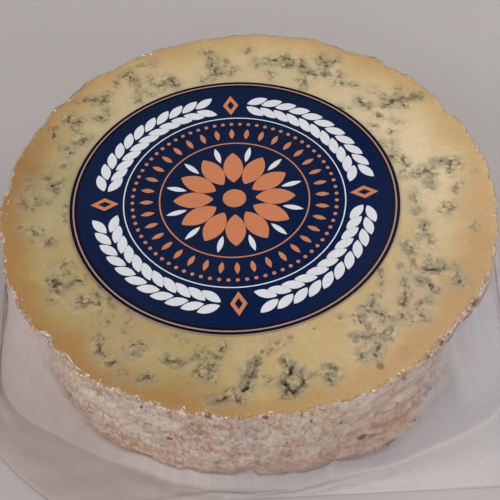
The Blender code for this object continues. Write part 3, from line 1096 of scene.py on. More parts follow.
@dataclass(frozen=True)
class CrumbFinish:
    """Moist crumbs of rind and paste, from pale grey to brown."""

    chalk: Colour = (198, 174, 144)
    tan: Colour = (188, 150, 108)
    brown: Colour = (142, 104, 76)
    roughness: float = 0.3

    def build(self) -> bpy.types.Material:
        """Make the material.

        Returns:
            The material.
        """
        material, graph, shader = new_material("crumbs")
        place = graph.place()
        tanner, browner = graph.noise(place, 3.0).ramp(0.42, 0.6), graph.noise(place, 2.2).ramp(0.53, 0.64)
        tint = graph.layers(self.chalk, (tanner, self.tan), (browner, self.brown))
        graph.set(shader, Base_Color=tint, Roughness=self.roughness)
        return material


@dataclass
class Crumbs:
    """Crumbs that cling along the ragged rim, and a few grains on the wall."""

    density: float = 300000.0
    smallest: float = 0.15 * MM
    largest: float = 0.6 * MM
    finish: CrumbFinish = field(default_factory=CrumbFinish)

    @staticmethod
    def random_vector(graph: Graph, low: Feed, high: Feed, seed: int) -> Wire:
        """A random vector for each point.

        Args:
            graph: The tree.
            low: Its lowest values.
            high: Its highest.
            seed: The seed.

        Returns:
            The vector.
        """
        node = graph.add("FunctionNodeRandomValue", {"data_type": "FLOAT_VECTOR"}, Seed=seed)
        graph.feed(node.inputs[0], low)
        graph.feed(node.inputs[1], high)
        return Wire(graph, node.outputs[0])

    def rule(self) -> bpy.types.NodeTree:
        """Write the tree that scatters uneven crumbs, as thickly as a mesh's fringe attribute says.

        Returns:
            The tree.
        """
        graph = new_rule("scattered_crumbs", {"Density": 1.0, "Smallest": 0.001, "Largest": 0.002})
        thick = graph.attribute("fringe") * graph.given("Density")
        points = graph.out("GeometryNodeDistributePointsOnFaces", Mesh=graph.given("Geometry"), Density=thick)
        placed = graph.out(
            "GeometryNodeInstanceOnPoints",
            Points=points,
            Instance=graph.out("GeometryNodeMeshIcoSphere", Radius=1.0, Subdivisions=2),
            Rotation=self.random_vector(graph, (0.0,) * 3, (math.tau,) * 3, 5),
            Scale=self.random_vector(graph, graph.given("Smallest"), graph.given("Largest"), 11),
        )
        real = graph.out("GeometryNodeRealizeInstances", Geometry=placed)
        lumps = graph.noise(graph.place(), 0.7) * (0.5 * MM) - 0.25 * MM
        return graph.close(graph.pushed(real, lumps))

    def build(self, cheese: bpy.types.Object) -> bpy.types.Object:
        """Scatter the crumbs over the cheese.

        Args:
            cheese: The finished slice, with its fringe attribute.

        Returns:
            The crumbs, as one piece.
        """
        piece = plain_piece("rim_crumbs", cheese.data.copy())
        sizes = {"Density": self.density, "Smallest": self.smallest, "Largest": self.largest}
        apply_rule(piece, self.rule(), self.finish.build(), **sizes)
        piece.data.shade_smooth()
        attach(piece, BODY)
        return piece


@dataclass
class Cheese:
    """The slice of cheese: its cut face with the veins, its rind and its ragged rim."""

    segments: int = 800
    inner_share: float = 0.57
    rim_step: float = 0.45 * MM
    rim_rows: int = 7
    top_step: float = 0.85 * MM
    middle_shares: tuple[float, ...] = (0.45, 0.3, 0.15)
    wall_rows: int = 42
    foot_rows: int = 6
    base_rows: int = 3
    top_depth: float = 2.0 * MM
    drift_cell: float = 6.0
    drift: float = 0.9
    drift_seed: int = 7
    far: float = 12.0
    halo_reach: float = 3.6
    finish: CheeseFinish = field(default_factory=CheeseFinish)

    def top_shares(self) -> list[float]:
        """Shares of the rim's radius at which the rings of the cut face run, from the rim inwards.

        Returns:
            The shares: close together at the rim, even further in, and wide apart under the label.
        """
        fine = [1.0 - step * self.rim_step / SHAPE.rim_radius for step in range(1, self.rim_rows + 1)]
        steps = int((fine[-1] - self.inner_share) * SHAPE.rim_radius / self.top_step)
        wide = [fine[-1] - step * self.top_step / SHAPE.rim_radius for step in range(1, steps + 1)]
        return [*fine, *wide, *self.middle_shares]

    def rings(self) -> tuple[np.ndarray, np.ndarray]:
        """Points of the whole surface, and how far each counts as rind.

        Returns:
            Points as rings by segments by 3, from the middle of the base to the middle of the top,
            and the rind's share at each.
        """
        azimuths = [2.0 * math.pi * step / self.segments for step in range(self.segments)]
        widths = MM * np.array([by_azimuth(RIM_WIDTHS, azimuth) for azimuth in azimuths])
        bends = [0.5 * math.pi * row / self.foot_rows for row in range(self.foot_rows)]
        foot = [SHAPE.foot_round * (1.0 - math.cos(bend)) for bend in bends]
        rise = (SHAPE.height - SHAPE.foot_round) / self.wall_rows
        heights = foot + [SHAPE.foot_round + rise * row for row in range(self.wall_rows)]
        rows: list[list[tuple[float, float, float]]] = []
        shares: list[np.ndarray] = []
        foot_radii = [SHAPE.radius(azimuth, 0.0) for azimuth in azimuths]
        for row in range(1, self.base_rows + 1):
            scale = row / (self.base_rows + 1)
            ring = zip(azimuths, foot_radii)
            rows.append([self.point(azimuth, radius * scale, 0.0) for azimuth, radius in ring])
            shares.append(np.zeros(self.segments))
        for height in heights:
            rows.append([self.point(azimuth, SHAPE.radius(azimuth, height), height) for azimuth in azimuths])
            skin = self.rind_share(widths, height - SHAPE.height)
            shares.append(np.minimum(skin, smooth_step(0.3 + height / (3.0 * MM))))
        rim = [SHAPE.radius(azimuth, SHAPE.height) for azimuth in azimuths]
        drops = [SHAPE.height - SHAPE.rim_height(azimuth) for azimuth in azimuths]
        for share in [1.0, *self.top_shares()]:
            inside = (1.0 - share) * SHAPE.rim_radius
            fade = max(1.0 - inside / SHAPE.shoulder, 0.0) ** 2
            levels = [SHAPE.height - drop * fade for drop in drops]
            ring = zip(azimuths, rim, levels)
            rows.append([self.point(azimuth, radius * share, level) for azimuth, radius, level in ring])
            shares.append(self.rind_share(widths, inside))
        return np.array(rows), np.array(shares)

    @staticmethod
    def rind_share(widths: np.ndarray, inside: float) -> np.ndarray:
        """How far a ring counts as rind: 0.5 where the fold ends, less further in, 1 down the wall."""
        return np.clip(0.5 + 0.3 * (widths - inside) / MM, 0.0, 1.0)

    @staticmethod
    def point(azimuth: float, radius: float, height: float) -> tuple[float, float, float]:
        """A point in round coordinates."""
        return radius * math.cos(azimuth), radius * math.sin(azimuth), height

    @staticmethod
    def stroke_gap(points: np.ndarray, width: float, path: Sequence[tuple[float, float]]) -> np.ndarray:
        """Distance of points from a given stroke, less its half width.

        Args:
            points: The points, in millimetres.
            width: Width of the stroke.
            path: Its own points.

        Returns:
            The distances.
        """
        nearest = np.full(len(points), 1e3)
        for start, end in zip(path, path[1:]):
            a, b = np.array(start, float), np.array(end, float)
            along = np.clip(((points - a) @ (b - a)) / ((b - a) @ (b - a)), 0.0, 1.0)
            nearest = np.minimum(nearest, np.linalg.norm(points - a - along[:, None] * (b - a), axis=1))
        return nearest - 0.5 * width

    @staticmethod
    def nearness(points: np.ndarray, places: Sequence[tuple[float, float, float]]) -> np.ndarray:
        """1 in the middle of any of the round places, 0.5 at its radius and 0 at twice that."""
        reaches = [np.linalg.norm(points - np.array(place), axis=1) / size for *place, size in places]
        return np.clip(1.0 - 0.5 * np.min(reaches, axis=0), 0.0, 1.0)

    def mark_veins(self, mesh: bpy.types.Mesh, points: np.ndarray) -> None:
        """Store how near each vertex is to a vein, and how much mould, crack and spot it has.

        Args:
            mesh: The cheese's mesh.
            points: Its vertices in metres.
        """
        on_top = points[:, 2] > SHAPE.height - self.top_depth
        flat = points[on_top, :2] / MM
        cell = self.drift_cell
        noise.seed_set(self.drift_seed)
        sway = np.array([noise.noise_vector((x / cell, y / cell, 0.0)) for x, y in flat])[:, :2]
        flat = flat + self.drift * sway
        gap = np.full(len(flat), self.far)
        halo = np.zeros(len(flat))
        for strength, width, *path in VEINS:
            reach = self.stroke_gap(flat, 0.6 * width, path)
            gap = np.minimum(gap, reach + 1.3 * (1.0 - strength))
            halo = np.maximum(halo, strength * np.exp(-np.square(np.maximum(reach, 0.0) / self.halo_reach)))
        crack = np.zeros(len(flat))
        for depth, width, *path in CRACKS:
            reach = self.stroke_gap(flat, 0.8 * width, path)
            crack = np.maximum(crack, depth * np.clip(0.5 - reach / 0.6, 0.0, 1.0))
        marks = {
            "vein": (gap, self.far),
            "mould": (halo, 0.5),
            "crack": (crack, 0.0),
            "spot": (self.nearness(flat, SPOTS), 0.0),
            "blotch": (self.nearness(flat, BLOTCHES), 0.0),
        }
        for name, (values, elsewhere) in marks.items():
            whole = np.full(len(points), elsewhere)
            whole[on_top] = values
            set_attribute(mesh, name, whole)

    @staticmethod
    def mark_rind(mesh: bpy.types.Mesh, points: np.ndarray) -> None:
        """Store how amber and how darkened by painted shade the paste is at each vertex, the patches of the
        rind, and how crumbly it is.

        Args:
            mesh: The cheese's mesh.
            points: Its vertices in metres.
        """
        azimuths = np.degrees(np.arctan2(points[:, 1], points[:, 0]))
        turns, *columns = zip(*PASTE_TONE_AND_SHADE)
        for name, column in zip(("amber_and_shade", "tanned", "tan_reach"), columns):
            set_attribute(mesh, name, np.interp(azimuths, turns, column))
        radii = np.linalg.norm(points[:, :2], axis=1)
        outer = np.clip(radii / (2.0 * MM) - 50.5, 0.0, 1.0)
        for name, patches in PATCHES.items():
            whole = np.zeros(len(points))
            for azimuth, height, half_length, half_height, strength in patches:
                turn = np.radians((azimuths - azimuth + 180.0) % 360.0 - 180.0)
                across = RIM_MM * turn / half_length
                upward = (points[:, 2] / MM - height) / half_height
                near = np.clip(1.6 - np.hypot(across, upward), 0.0, 1.0)
                whole = np.maximum(whole, outer * strength * near)
            set_attribute(mesh, name, whole)
        inward = np.minimum(radii / MM - RIM_MM + 0.5, 0.0)
        down = points[:, 2] / MM - SHAPE.height / MM
        from_rim = np.hypot(2.0 * inward, 0.8 * (down + 0.4))
        front = 0.3 + 0.7 * np.clip((20.0 - points[:, 1] / MM) / 60.0, 0.0, 1.0)
        set_attribute(mesh, "fringe", front * np.exp(-np.square(from_rim / 1.2)))
        set_attribute(mesh, "moist", np.exp(-np.square(np.hypot(inward, down) / 1.6)))

    def relief_rule(self) -> bpy.types.NodeTree:
        """Write the tree that adds the fine relief: crumbs of the rind, cracks, and pits along the veins.

        Returns:
            The tree.
        """
        graph = new_rule("cheese_relief", {"Rind Depth": 1.0, "Crumb Depth": 1.8, "Crack Depth": 2.2})
        place, rind = graph.place(), graph.attribute("rind")
        grains = graph.noise(place, 2.4, 3.0, 0.66) - 0.5
        ledges = graph.wall_noise(place, 3.6, 5.6, 3.0, 0.5) - 0.5
        swells = graph.wall_noise(place, 7.5, 9.5, 3.0, 0.62) - 0.5
        craggy = swells * -2.2 + (grains * 0.6 + ledges)
        level = 1.0 - graph.attribute("smooth") * 0.5
        on_wall = craggy * level * graph.given("Rind Depth") * rind.ramp(0.2, 0.7)
        at_rim = graph.math("ABSOLUTE", rind - 0.45).ramp(0.45, 0.1)
        broken = (graph.noise(place, 2.7, 3.0, 0.62) - 0.56) * at_rim * graph.given("Crumb Depth")
        open_part = graph.most(graph.attribute("crack"), graph.attribute("hole") * 0.5)
        pitted = MOULD.gap(graph, place).ramp(0.6, -0.9) * 0.06
        waves = (graph.noise(place, 11.0) - 0.5) * 0.25
        total = on_wall + broken - open_part * graph.given("Crack Depth") - pitted + waves
        return graph.close(graph.pushed(graph.given("Geometry"), total * MM, above=0.3 * MM))

    def build(self) -> list[bpy.types.Object]:
        """Make the cheese and its crumbs.

        Returns:
            Both pieces.
        """
        rings, rind = self.rings()
        mesh = grid_mesh("cheese_slice", rings)
        set_attribute(mesh, "rind", np.append(rind.ravel(), [0.0, 0.0]))
        flat = np.zeros(len(mesh.vertices) * 3, np.float32)
        mesh.vertices.foreach_get("co", flat)
        points = flat.reshape(-1, 3).astype(float)
        self.mark_veins(mesh, points)
        self.mark_rind(mesh, points)
        piece = plain_piece("cheese_slice", mesh)
        apply_rule(piece, self.relief_rule(), self.finish.build())
        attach(piece, BODY)
        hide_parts("cheese")
        return [piece, Crumbs().build(piece)]


@dataclass(frozen=True)
class Corner:
    """A corner of the pouch: its tent's middle and half width, and its foot's and its tip's radius."""

    middle: float
    half_width: float
    foot: float
    reach: float

    def away(self, azimuth: float) -> float:
        """Degrees from the tent's middle to an azimuth in radians, the short way round."""
        return abs((math.degrees(azimuth) - self.middle + 180.0) % 360.0 - 180.0)


class PouchCorner(Enum):
    """The four corners of the pouch."""

    FRONT_RIGHT = Corner(-37.0, 37.0, 127.0 * MM, 156.0 * MM)
    FRONT_LEFT = Corner(-150.0, 34.0, 122.0 * MM, 139.0 * MM)
    BACK_LEFT = Corner(137.0, 30.0, 118.0 * MM, 127.0 * MM)
    BACK_RIGHT = Corner(44.0, 30.0, 118.0 * MM, 127.0 * MM)


@dataclass(frozen=True)
class FilmFinish:
    """Clear glossy film: nearly invisible where tight, a pale veil where it is loose or creased, with painted
    white glints along the rim.
    """

    tint: Colour = (236, 231, 231)
    warm_veil: Colour = (189, 177, 173)
    cool_veil: Colour = (192, 189, 193)
    # Lighter veil for the painted light on the skirt at the right
    skirt_veil: Colour = (206, 202, 203)
    shaded_slope_veil: Colour = (184, 171, 167)
    # Colour of the painted glints along the rim
    glint: Colour = (253, 249, 244)
    creased_veil: float = 0.05
    gloss: float = 0.09
    loose_gloss: float = 0.3
    mirror_gain: float = 0.85
    loose_mirror: float = 0.15
    mirror_limit: float = 0.4
    metal: float = 0.95
    shade: float = 0.12
    shine: float = 0.15

    def build(self) -> bpy.types.Material:
        """Make the material.

        Returns:
            The material.
        """
        material, graph, shader = new_material("clear_film")
        place = graph.place()
        across, _, upward = graph.xyz(place)
        loose = graph.attribute("slack").ramp(0.3, 1.0)
        pleats = graph.wall_noise(place, 4.5, 34.0)
        normal = graph.bump(pleats * 0.15 + graph.noise(place, 1.9, 3.0, 0.6) * 0.15, 0.5)
        creased = pleats.ramp(0.4, 0.7, 1.0 - self.creased_veil, 1.0 + self.creased_veil)
        # Painted highlights: white flecks along the rim and white lines on the folds' crests stand in for
        # glints
        at_rim = upward.ramp(48.4, 49.4) * graph.radius(place).ramp(101.6, 103.2)
        glint_flecks = graph.noise(place, 1.3).ramp(0.66, 0.72) * at_rim
        painted_glints = graph.most(glint_flecks, graph.attribute("fold") * graph.noise(place, 1.9).ramp(0.38, 0.5, 0.5, 1.0))
        milky = graph.most(creased * graph.attribute("veil"), painted_glints * 0.95)
        fresnel = graph.out("ShaderNodeFresnel", IOR=1.5, Normal=normal)
        gain = loose * (self.loose_mirror - self.mirror_gain) + self.mirror_gain
        mirror = graph.math("MINIMUM", fresnel, self.mirror_limit) * gain
        cover = mirror + milky
        share = mirror / graph.most(cover, 0.01)
        thinned = cover * (graph.out("ShaderNodeLightPath", "Is Shadow Ray") * (self.shade - 1.0) + 1.0)
        # Painted light: the skirt's veil lighter on the right, much less at the far right
        painted_skirt_light = across.ramp(0.0, 45.0) * across.ramp(125.0, 65.0, 0.1, 1.0) * upward.ramp(4.0, 1.6)
        veil = graph.layers(
            self.warm_veil,
            (across.ramp(-70.0, 70.0), self.cool_veil),
            (painted_skirt_light, self.skirt_veil),
            # Painted shade: a darker veil on the low slopes of the left tents
            (upward.ramp(36.0, 22.0) * across.ramp(-30.0, -80.0), self.shaded_slope_veil),
            (painted_glints, self.glint),
        )
        tint, gloss = graph.blend(share, veil, self.tint), loose * self.loose_gloss + self.gloss
        graph.set(shader, Base_Color=tint, Roughness=gloss, Metallic=share * self.metal)
        graph.set(shader, Alpha=thinned, Normal=normal, Specular_IOR_Level=self.shine)
        return material


@dataclass(frozen=True)
class Ridge:
    """A fold of the tight film that runs along the rim, raised in the mesh, with its crest painted white as a
    highlight.

    It has its ends in degrees, how far in it runs, its rise, the degrees in which it fades out at an
    end, and its half width.
    """

    start: float
    end: float
    inside: float
    rise: float = 0.3 * MM
    fade: float = 0.8
    half_width: float = 0.4 * MM

    def height(self, azimuth: float, inside: float) -> float:
        """How high the fold stands.

        Args:
            azimuth: Direction in radians.
            inside: Distance inside the rim.

        Returns:
            The height.
        """
        degrees = in_degrees(azimuth)
        begun, left = (degrees - self.start) / self.fade, (self.end - degrees) / self.fade
        along = smooth_step(begun) * smooth_step(left)
        return self.rise * along * math.exp(-(((inside - self.inside) / self.half_width) ** 2))


RIDGES = (
    Ridge(-136.5, -129.4, 1.4 * MM),
    Ridge(-134.6, -130.0, 0.3 * MM),
    Ridge(-129.2, -126.8, 0.9 * MM),
    Ridge(-117.0, -115.2, 0.8 * MM),
    Ridge(-103.0, -101.6, 0.6 * MM),
    Ridge(-50.0, -48.4, 1.2 * MM),
)


@dataclass
class Pouch:
    """The clear pouch: tight over the cheese, tented at its corners, with a skirt on the table."""

    segments: int = 640
    half_side: float = 113.0 * MM
    softness: float = 6.0 * MM
    thickness: float = 0.6 * MM
    cling: float = 6.0 * MM
    cling_spread: float = 3.5 * MM
    tent_top: float = 47.5 * MM
    lift: float = 0.22 * MM
    under: float = -0.12 * MM
    hug: float = 0.5 * MM
    top_step: float = 1.5 * MM
    bend: float = 1.2 * MM
    bend_rows: int = 5
    ripple: float = 1.1 * MM
    skirt_veil: float = 0.8
    gap_veil: float = 0.92
    wall_rows: int = 44
    skirt_rows: int = 16
    ridge_rows: int = 10
    ridge_start: float = 0.8
    ridge_step: float = 0.3
    finish: FilmFinish = field(default_factory=FilmFinish)

    @staticmethod
    def corner(azimuth: float) -> Corner:
        """The corner whose tent is nearest."""
        return min((c.value for c in PouchCorner), key=lambda c: c.away(azimuth) / c.half_width)

    def tent(self, azimuth: float) -> float:
        """How far the film stands off: 0 where it clings to the wall, 1 in a corner's tent."""
        corner = self.corner(azimuth)
        return smooth_step(1.0 - corner.away(azimuth) / corner.half_width)

    def leaving(self, azimuth: float) -> float:
        """Height at which the film leaves the wall."""
        return self.cling + (self.tent_top - self.cling) * self.tent(azimuth)

    def foot(self, azimuth: float) -> float:
        """Radius at which the sloping film meets the table."""
        clinging = SHAPE.film_bed(azimuth, self.cling) + self.cling_spread
        return clinging + (self.corner(azimuth).foot - clinging) * self.tent(azimuth) ** 2

    def edge(self, azimuth: float) -> float:
        """Radius of the pouch's outer edge: straight sides, with corners that stop at their reach.

        Args:
            azimuth: Direction in radians.

        Returns:
            The radius.
        """
        side = self.half_side / max(abs(math.cos(azimuth)), abs(math.sin(azimuth)))
        reach = self.corner(azimuth).reach
        gap = max(self.softness - abs(side - reach), 0.0)
        return min(side, reach) - gap * gap / (4.0 * self.softness)

    def wall(self, azimuth: float, height: float) -> float:
        """Radius of the film on the wall or on a tent's slope.

        Args:
            azimuth: Direction in radians.
            height: Height in metres.

        Returns:
            The radius.
        """
        leaving = self.leaving(azimuth)
        hugging = SHAPE.radius(azimuth, max(height, SHAPE.foot_round)) + self.hug
        if height >= leaving:
            return hugging
        share = (height - self.thickness) / (leaving - self.thickness)
        top = SHAPE.radius(azimuth, leaving) + self.hug
        slope = top + (self.foot(azimuth) - top) * max(1.0 - share, 0.0) ** 1.25
        return max(slope, hugging)

    def sections(self) -> tuple[np.ndarray, dict[str, np.ndarray]]:
        """Points of the pouch, and how slack, milky and folded it is at each, its folds painted white as
        highlights.

        Returns:
            Points as rings by segments by 3, from the middle of the underside round to the middle
            of the top, and the slackness, the veil and the folds, from 0 to 1, by name.
        """
        azimuths = [2.0 * math.pi * step / self.segments for step in range(self.segments)]
        radii, heights, slack, veil = np.array([self.column(azimuth) for azimuth in azimuths]).T
        turn = np.array(azimuths)[None, :]
        points = np.stack([radii * np.cos(turn), radii * np.sin(turn), heights], -1)
        inside = np.array([SHAPE.radius(azimuth, SHAPE.height) for azimuth in azimuths]) - radii
        # Folds' crests, which the film paints white as highlights
        fold = np.zeros(inside.shape)
        for row, column in zip(*np.nonzero((heights > SHAPE.height - 1.0 * MM) & (inside < 6.0 * MM))):
            crests = [ridge.height(azimuths[column], inside[row, column]) / ridge.rise for ridge in RIDGES]
            fold[row, column] = smooth_step(max(crests) * 1.6 - 0.6)
        return points, {"slack": slack, "veil": veil, "fold": fold}

    def veil(self, azimuth: float, height: float) -> float:
        """How milky the film is on a tent or the wall.

        Args:
            azimuth: Direction in radians.
            height: Height in metres.

        Returns:
            The share, from 0 to 1.
        """
        full, low = by_azimuth(VEIL, azimuth), by_azimuth(FOOT_VEIL, azimuth)
        thick = low + (1.0 - low) * smooth_step((height - 4.0 * MM) / (12.0 * MM))
        off = smooth_step((self.leaving(azimuth) + 8.0 * MM - height) / (4.0 * MM))
        spread = self.skirt_veil * smooth_step(((9.5 * low - 2.5) * MM - height) / (4.0 * MM))
        crease = low * (1.0 - self.tent(azimuth)) * smooth_step((6.5 * MM - height) / (1.6 * MM))
        stand_off = self.wall(azimuth, height) - SHAPE.radius(azimuth, height)
        clear = self.gap_veil * low * smooth_step((stand_off - 0.7 * MM) / (2.4 * MM))
        return max(full * thick * off, spread, clear, crease)

    def slope_column(self, azimuth: float, top_height: float) -> list[tuple[float, float, float, float]]:
        """The column's part from the foot up the tent or the wall, to just under the rim.

        Args:
            azimuth: Direction in radians.
            top_height: Height of its last point.

        Returns:
            Radius, height, slackness and veil at each point.
        """
        tent, leaving = self.tent(azimuth), self.leaving(azimuth)
        made = []
        for row in range(1, self.wall_rows + 1):
            height = self.thickness + (top_height - self.thickness) * row / self.wall_rows
            below = smooth_step((leaving - height) / (6.0 * MM))
            milky = self.veil(azimuth, height)
            made.append((self.wall(azimuth, height), height, max(0.25 + 0.75 * tent * below, milky), milky))
        return made

    def skirt_column(self, azimuth: float, edge: float) -> list[tuple[float, float, float, float]]:
        """The column's part from the skirt's edge in to the foot, rippled.

        Args:
            azimuth: Direction in radians.
            edge: Radius of the edge.

        Returns:
            Radius, height, slackness and veil at each point.
        """
        start = self.wall(azimuth, self.thickness)
        made = []
        for row in range(1, self.skirt_rows + 1):
            share = row / self.skirt_rows
            ripple = 0.5 + noise.noise((azimuth * 9.0, share * 2.2, 5.0))
            height = self.thickness + self.ripple * math.sin(math.pi * share) * ripple
            made.append((edge + (start - edge) * share, height, 0.9, self.skirt_veil))
        return made

    def column(self, azimuth: float) -> list[tuple[float, float, float, float]]:
        """Radius, height, slackness and veil down one side of the pouch, from the underside to the top.

        Args:
            azimuth: Direction in radians.

        Returns:
            The four values at each ring.
        """
        edge = max(self.edge(azimuth), self.foot(azimuth) + 1.5 * MM)
        haze = self.skirt_veil
        under = [(edge * share, self.under, 0.5, 0.2) for share in (0.3, 0.7, 0.93)]
        tip = [(edge - 0.5 * MM, 0.0, 0.7, haze), (edge, 0.2 * MM, 0.7, haze)]
        rim, level = SHAPE.radius(azimuth, SHAPE.height), SHAPE.height + self.lift
        drop = 0.5 * (SHAPE.height - SHAPE.rim_height(azimuth))
        middle = (rim + self.hug - self.bend, level - self.bend)
        haze_there = self.veil(azimuth, middle[1])
        top = []
        for step in range(1, self.bend_rows + 1):
            turn = 0.5 * math.pi * step / self.bend_rows
            sink = drop * math.sin(2.0 * turn)
            along, upward = middle[0] + self.bend * math.cos(turn), middle[1] + self.bend * math.sin(turn)
            top.append((along, upward - sink, 0.45 - 0.04 * step, haze_there * max(0.8 - 0.3 * step, 0.0)))
        for step in range(1, self.ridge_rows + 1):
            inside = (self.ridge_start + self.ridge_step * step) * MM
            fold = sum(ridge.height(azimuth, inside) for ridge in RIDGES)
            top.append((rim - inside, level + fold, 0.22 - 0.015 * step, 0.0))
        last = (self.ridge_start + self.ridge_step * self.ridge_rows) * MM
        count = int(0.37 * SHAPE.rim_radius / self.top_step)
        top += [(rim - last - self.top_step * row, level, 0.05, 0.0) for row in range(1, count + 1)]
        top += [(SHAPE.rim_radius * share, level, 0.0, 0.0) for share in (0.5, 0.3, 0.1)]
        return [*under, *tip, *self.skirt_column(azimuth, edge), *self.slope_column(azimuth, middle[1]), *top]

    def crease_rule(self) -> bpy.types.NodeTree:
        """Write the tree that creases the film: pleats that run down the tents, crinkles round the rim.

        Returns:
            The tree.
        """
        graph = new_rule("film_creases", {"Pleat Depth": 0.9, "Crinkle Depth": 0.5})
        place, slack = graph.place(), graph.attribute("slack")
        ridge = graph.math("ABSOLUTE", graph.wall_noise(place, 8.0, 70.0, 2.0, 0.5) - 0.5)
        deep = (0.16 - ridge) * slack.ramp(0.3, 1.0) * graph.given("Pleat Depth")
        fine = (graph.noise(place, 3.0) - 0.42) * (slack.ramp(0.12, 0.4) * graph.given("Crinkle Depth"))
        return graph.close(graph.pushed(graph.given("Geometry"), (deep + fine) * MM, above=0.5 * MM))

    def build(self) -> bpy.types.Object:
        """Make the pouch.

        Returns:
            The piece.
        """
        rings, marks = self.sections()
        mesh = grid_mesh("film_pouch", rings)
        for name, values in marks.items():
            set_attribute(mesh, name, np.append(values.ravel(), [0.2, 0.0]))
        piece = plain_piece("film_pouch", mesh)
        apply_rule(piece, self.crease_rule(), self.finish.build())
        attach(piece, BODY)
        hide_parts("film")
        return piece


def printed_paper_group() -> bpy.types.NodeTree:
    """Build the group for printed paper, which all the inks use: uneven tone, a faint grain, and a painted
    sheen on the left that gives way to a second colour towards the front right.

    Returns:
        The tree.
    """
    colours = {"Colour": "Color", "Colour at Right": "Color"}
    takes = {"Place": "Vector", **colours, "Uneven": 0.12, "Roughness": 0.3}
    gives = {"Colour": "Color", "Roughness": "Float", "Height": "Float"}
    graph = new_group("ShaderNodeTree", "printed_paper", takes, gives)
    place, uneven, rough = (graph.given(name) for name in ("Place", "Uneven", "Roughness"))
    x, y, _ = graph.xyz(place)
    # Painted reflection: the sheen painted into the first colour fades towards the front right
    sheen_fading = (y * -0.6 + x).ramp(0.0, 38.0)
    plain = graph.blend(sheen_fading, graph.given("Colour"), graph.given("Colour at Right"))
    fibres = graph.noise(place, 0.7, 3.0, 0.6)
    shade = graph.noise(place, 18.0) * (uneven * 2.0) + (1.0 - uneven)
    tone = graph.out("ShaderNodeCombineColor", Red=shade, Green=shade, Blue=shade)
    sheen = fibres.ramp(0.3, 0.7, rough - 0.05, rough + 0.05)
    graph.set(graph.sink, Colour=graph.blend(1.0, plain, tone, "MULTIPLY"), Roughness=sheen, Height=fibres)
    return graph.tree


@dataclass(frozen=True)
class PaperFinish:
    """Satin printed paper or its ink: one colour, slightly uneven, with a faint paper grain.

    It turns to a second colour towards the front right if one is given: the first then carries a painted
    sheen, lighter and greyer on the left, and the second is the ink without it.
    """

    name: str
    colour: Colour
    roughness: float = 0.3
    uneven: float = 0.12
    shine: float = 0.1
    right_without_sheen: Colour | None = None

    def build(self) -> bpy.types.Material:
        """Make the material.

        Returns:
            The material.
        """
        material, graph, shader = new_material(self.name)
        group = bpy.data.node_groups.get("printed_paper") or printed_paper_group()
        node = graph.add("ShaderNodeGroup", {"node_tree": group}, Place=graph.place(), Uneven=self.uneven)
        graph.set(node, Roughness=self.roughness, Colour=linear(self.colour))
        graph.set(node, Colour_at_Right=linear(self.right_without_sheen or self.colour))
        tint, rough, fibres = (Wire(graph, output) for output in node.outputs)
        normal = graph.bump(fibres, 0.25, 0.05 * MM)
        graph.set(shader, Base_Color=tint, Roughness=rough, Normal=normal, Specular_IOR_Level=self.shine)
        return material


class Ink(Enum):
    """Paper and inks of the label."""

    PAPER = PaperFinish("label_paper", (160, 158, 154), 0.5)
    # Navy with a painted sheen, lighter and greyer on the left
    NAVY = PaperFinish("navy_ink", (17, 32, 64), 0.28, 0.1, right_without_sheen=(3, 25, 66))
    BLACK = PaperFinish("black_ink", (22, 15, 24), 0.28)
    CREAM = PaperFinish("cream_ink", (222, 226, 234), 0.34, 0.05)
    COPPER = PaperFinish("copper_ink", (204, 130, 92), 0.3, 0.08)
    ROSE = PaperFinish("rose_ink", (168, 140, 144), 0.3, 0.06)


@dataclass(frozen=True)
class Motif:
    """Shape of a printed motif: a disc drawn out to a petal, lozenge or dot."""

    width: float
    length: float
    pointed: float = 1.0
    sides: int = 20


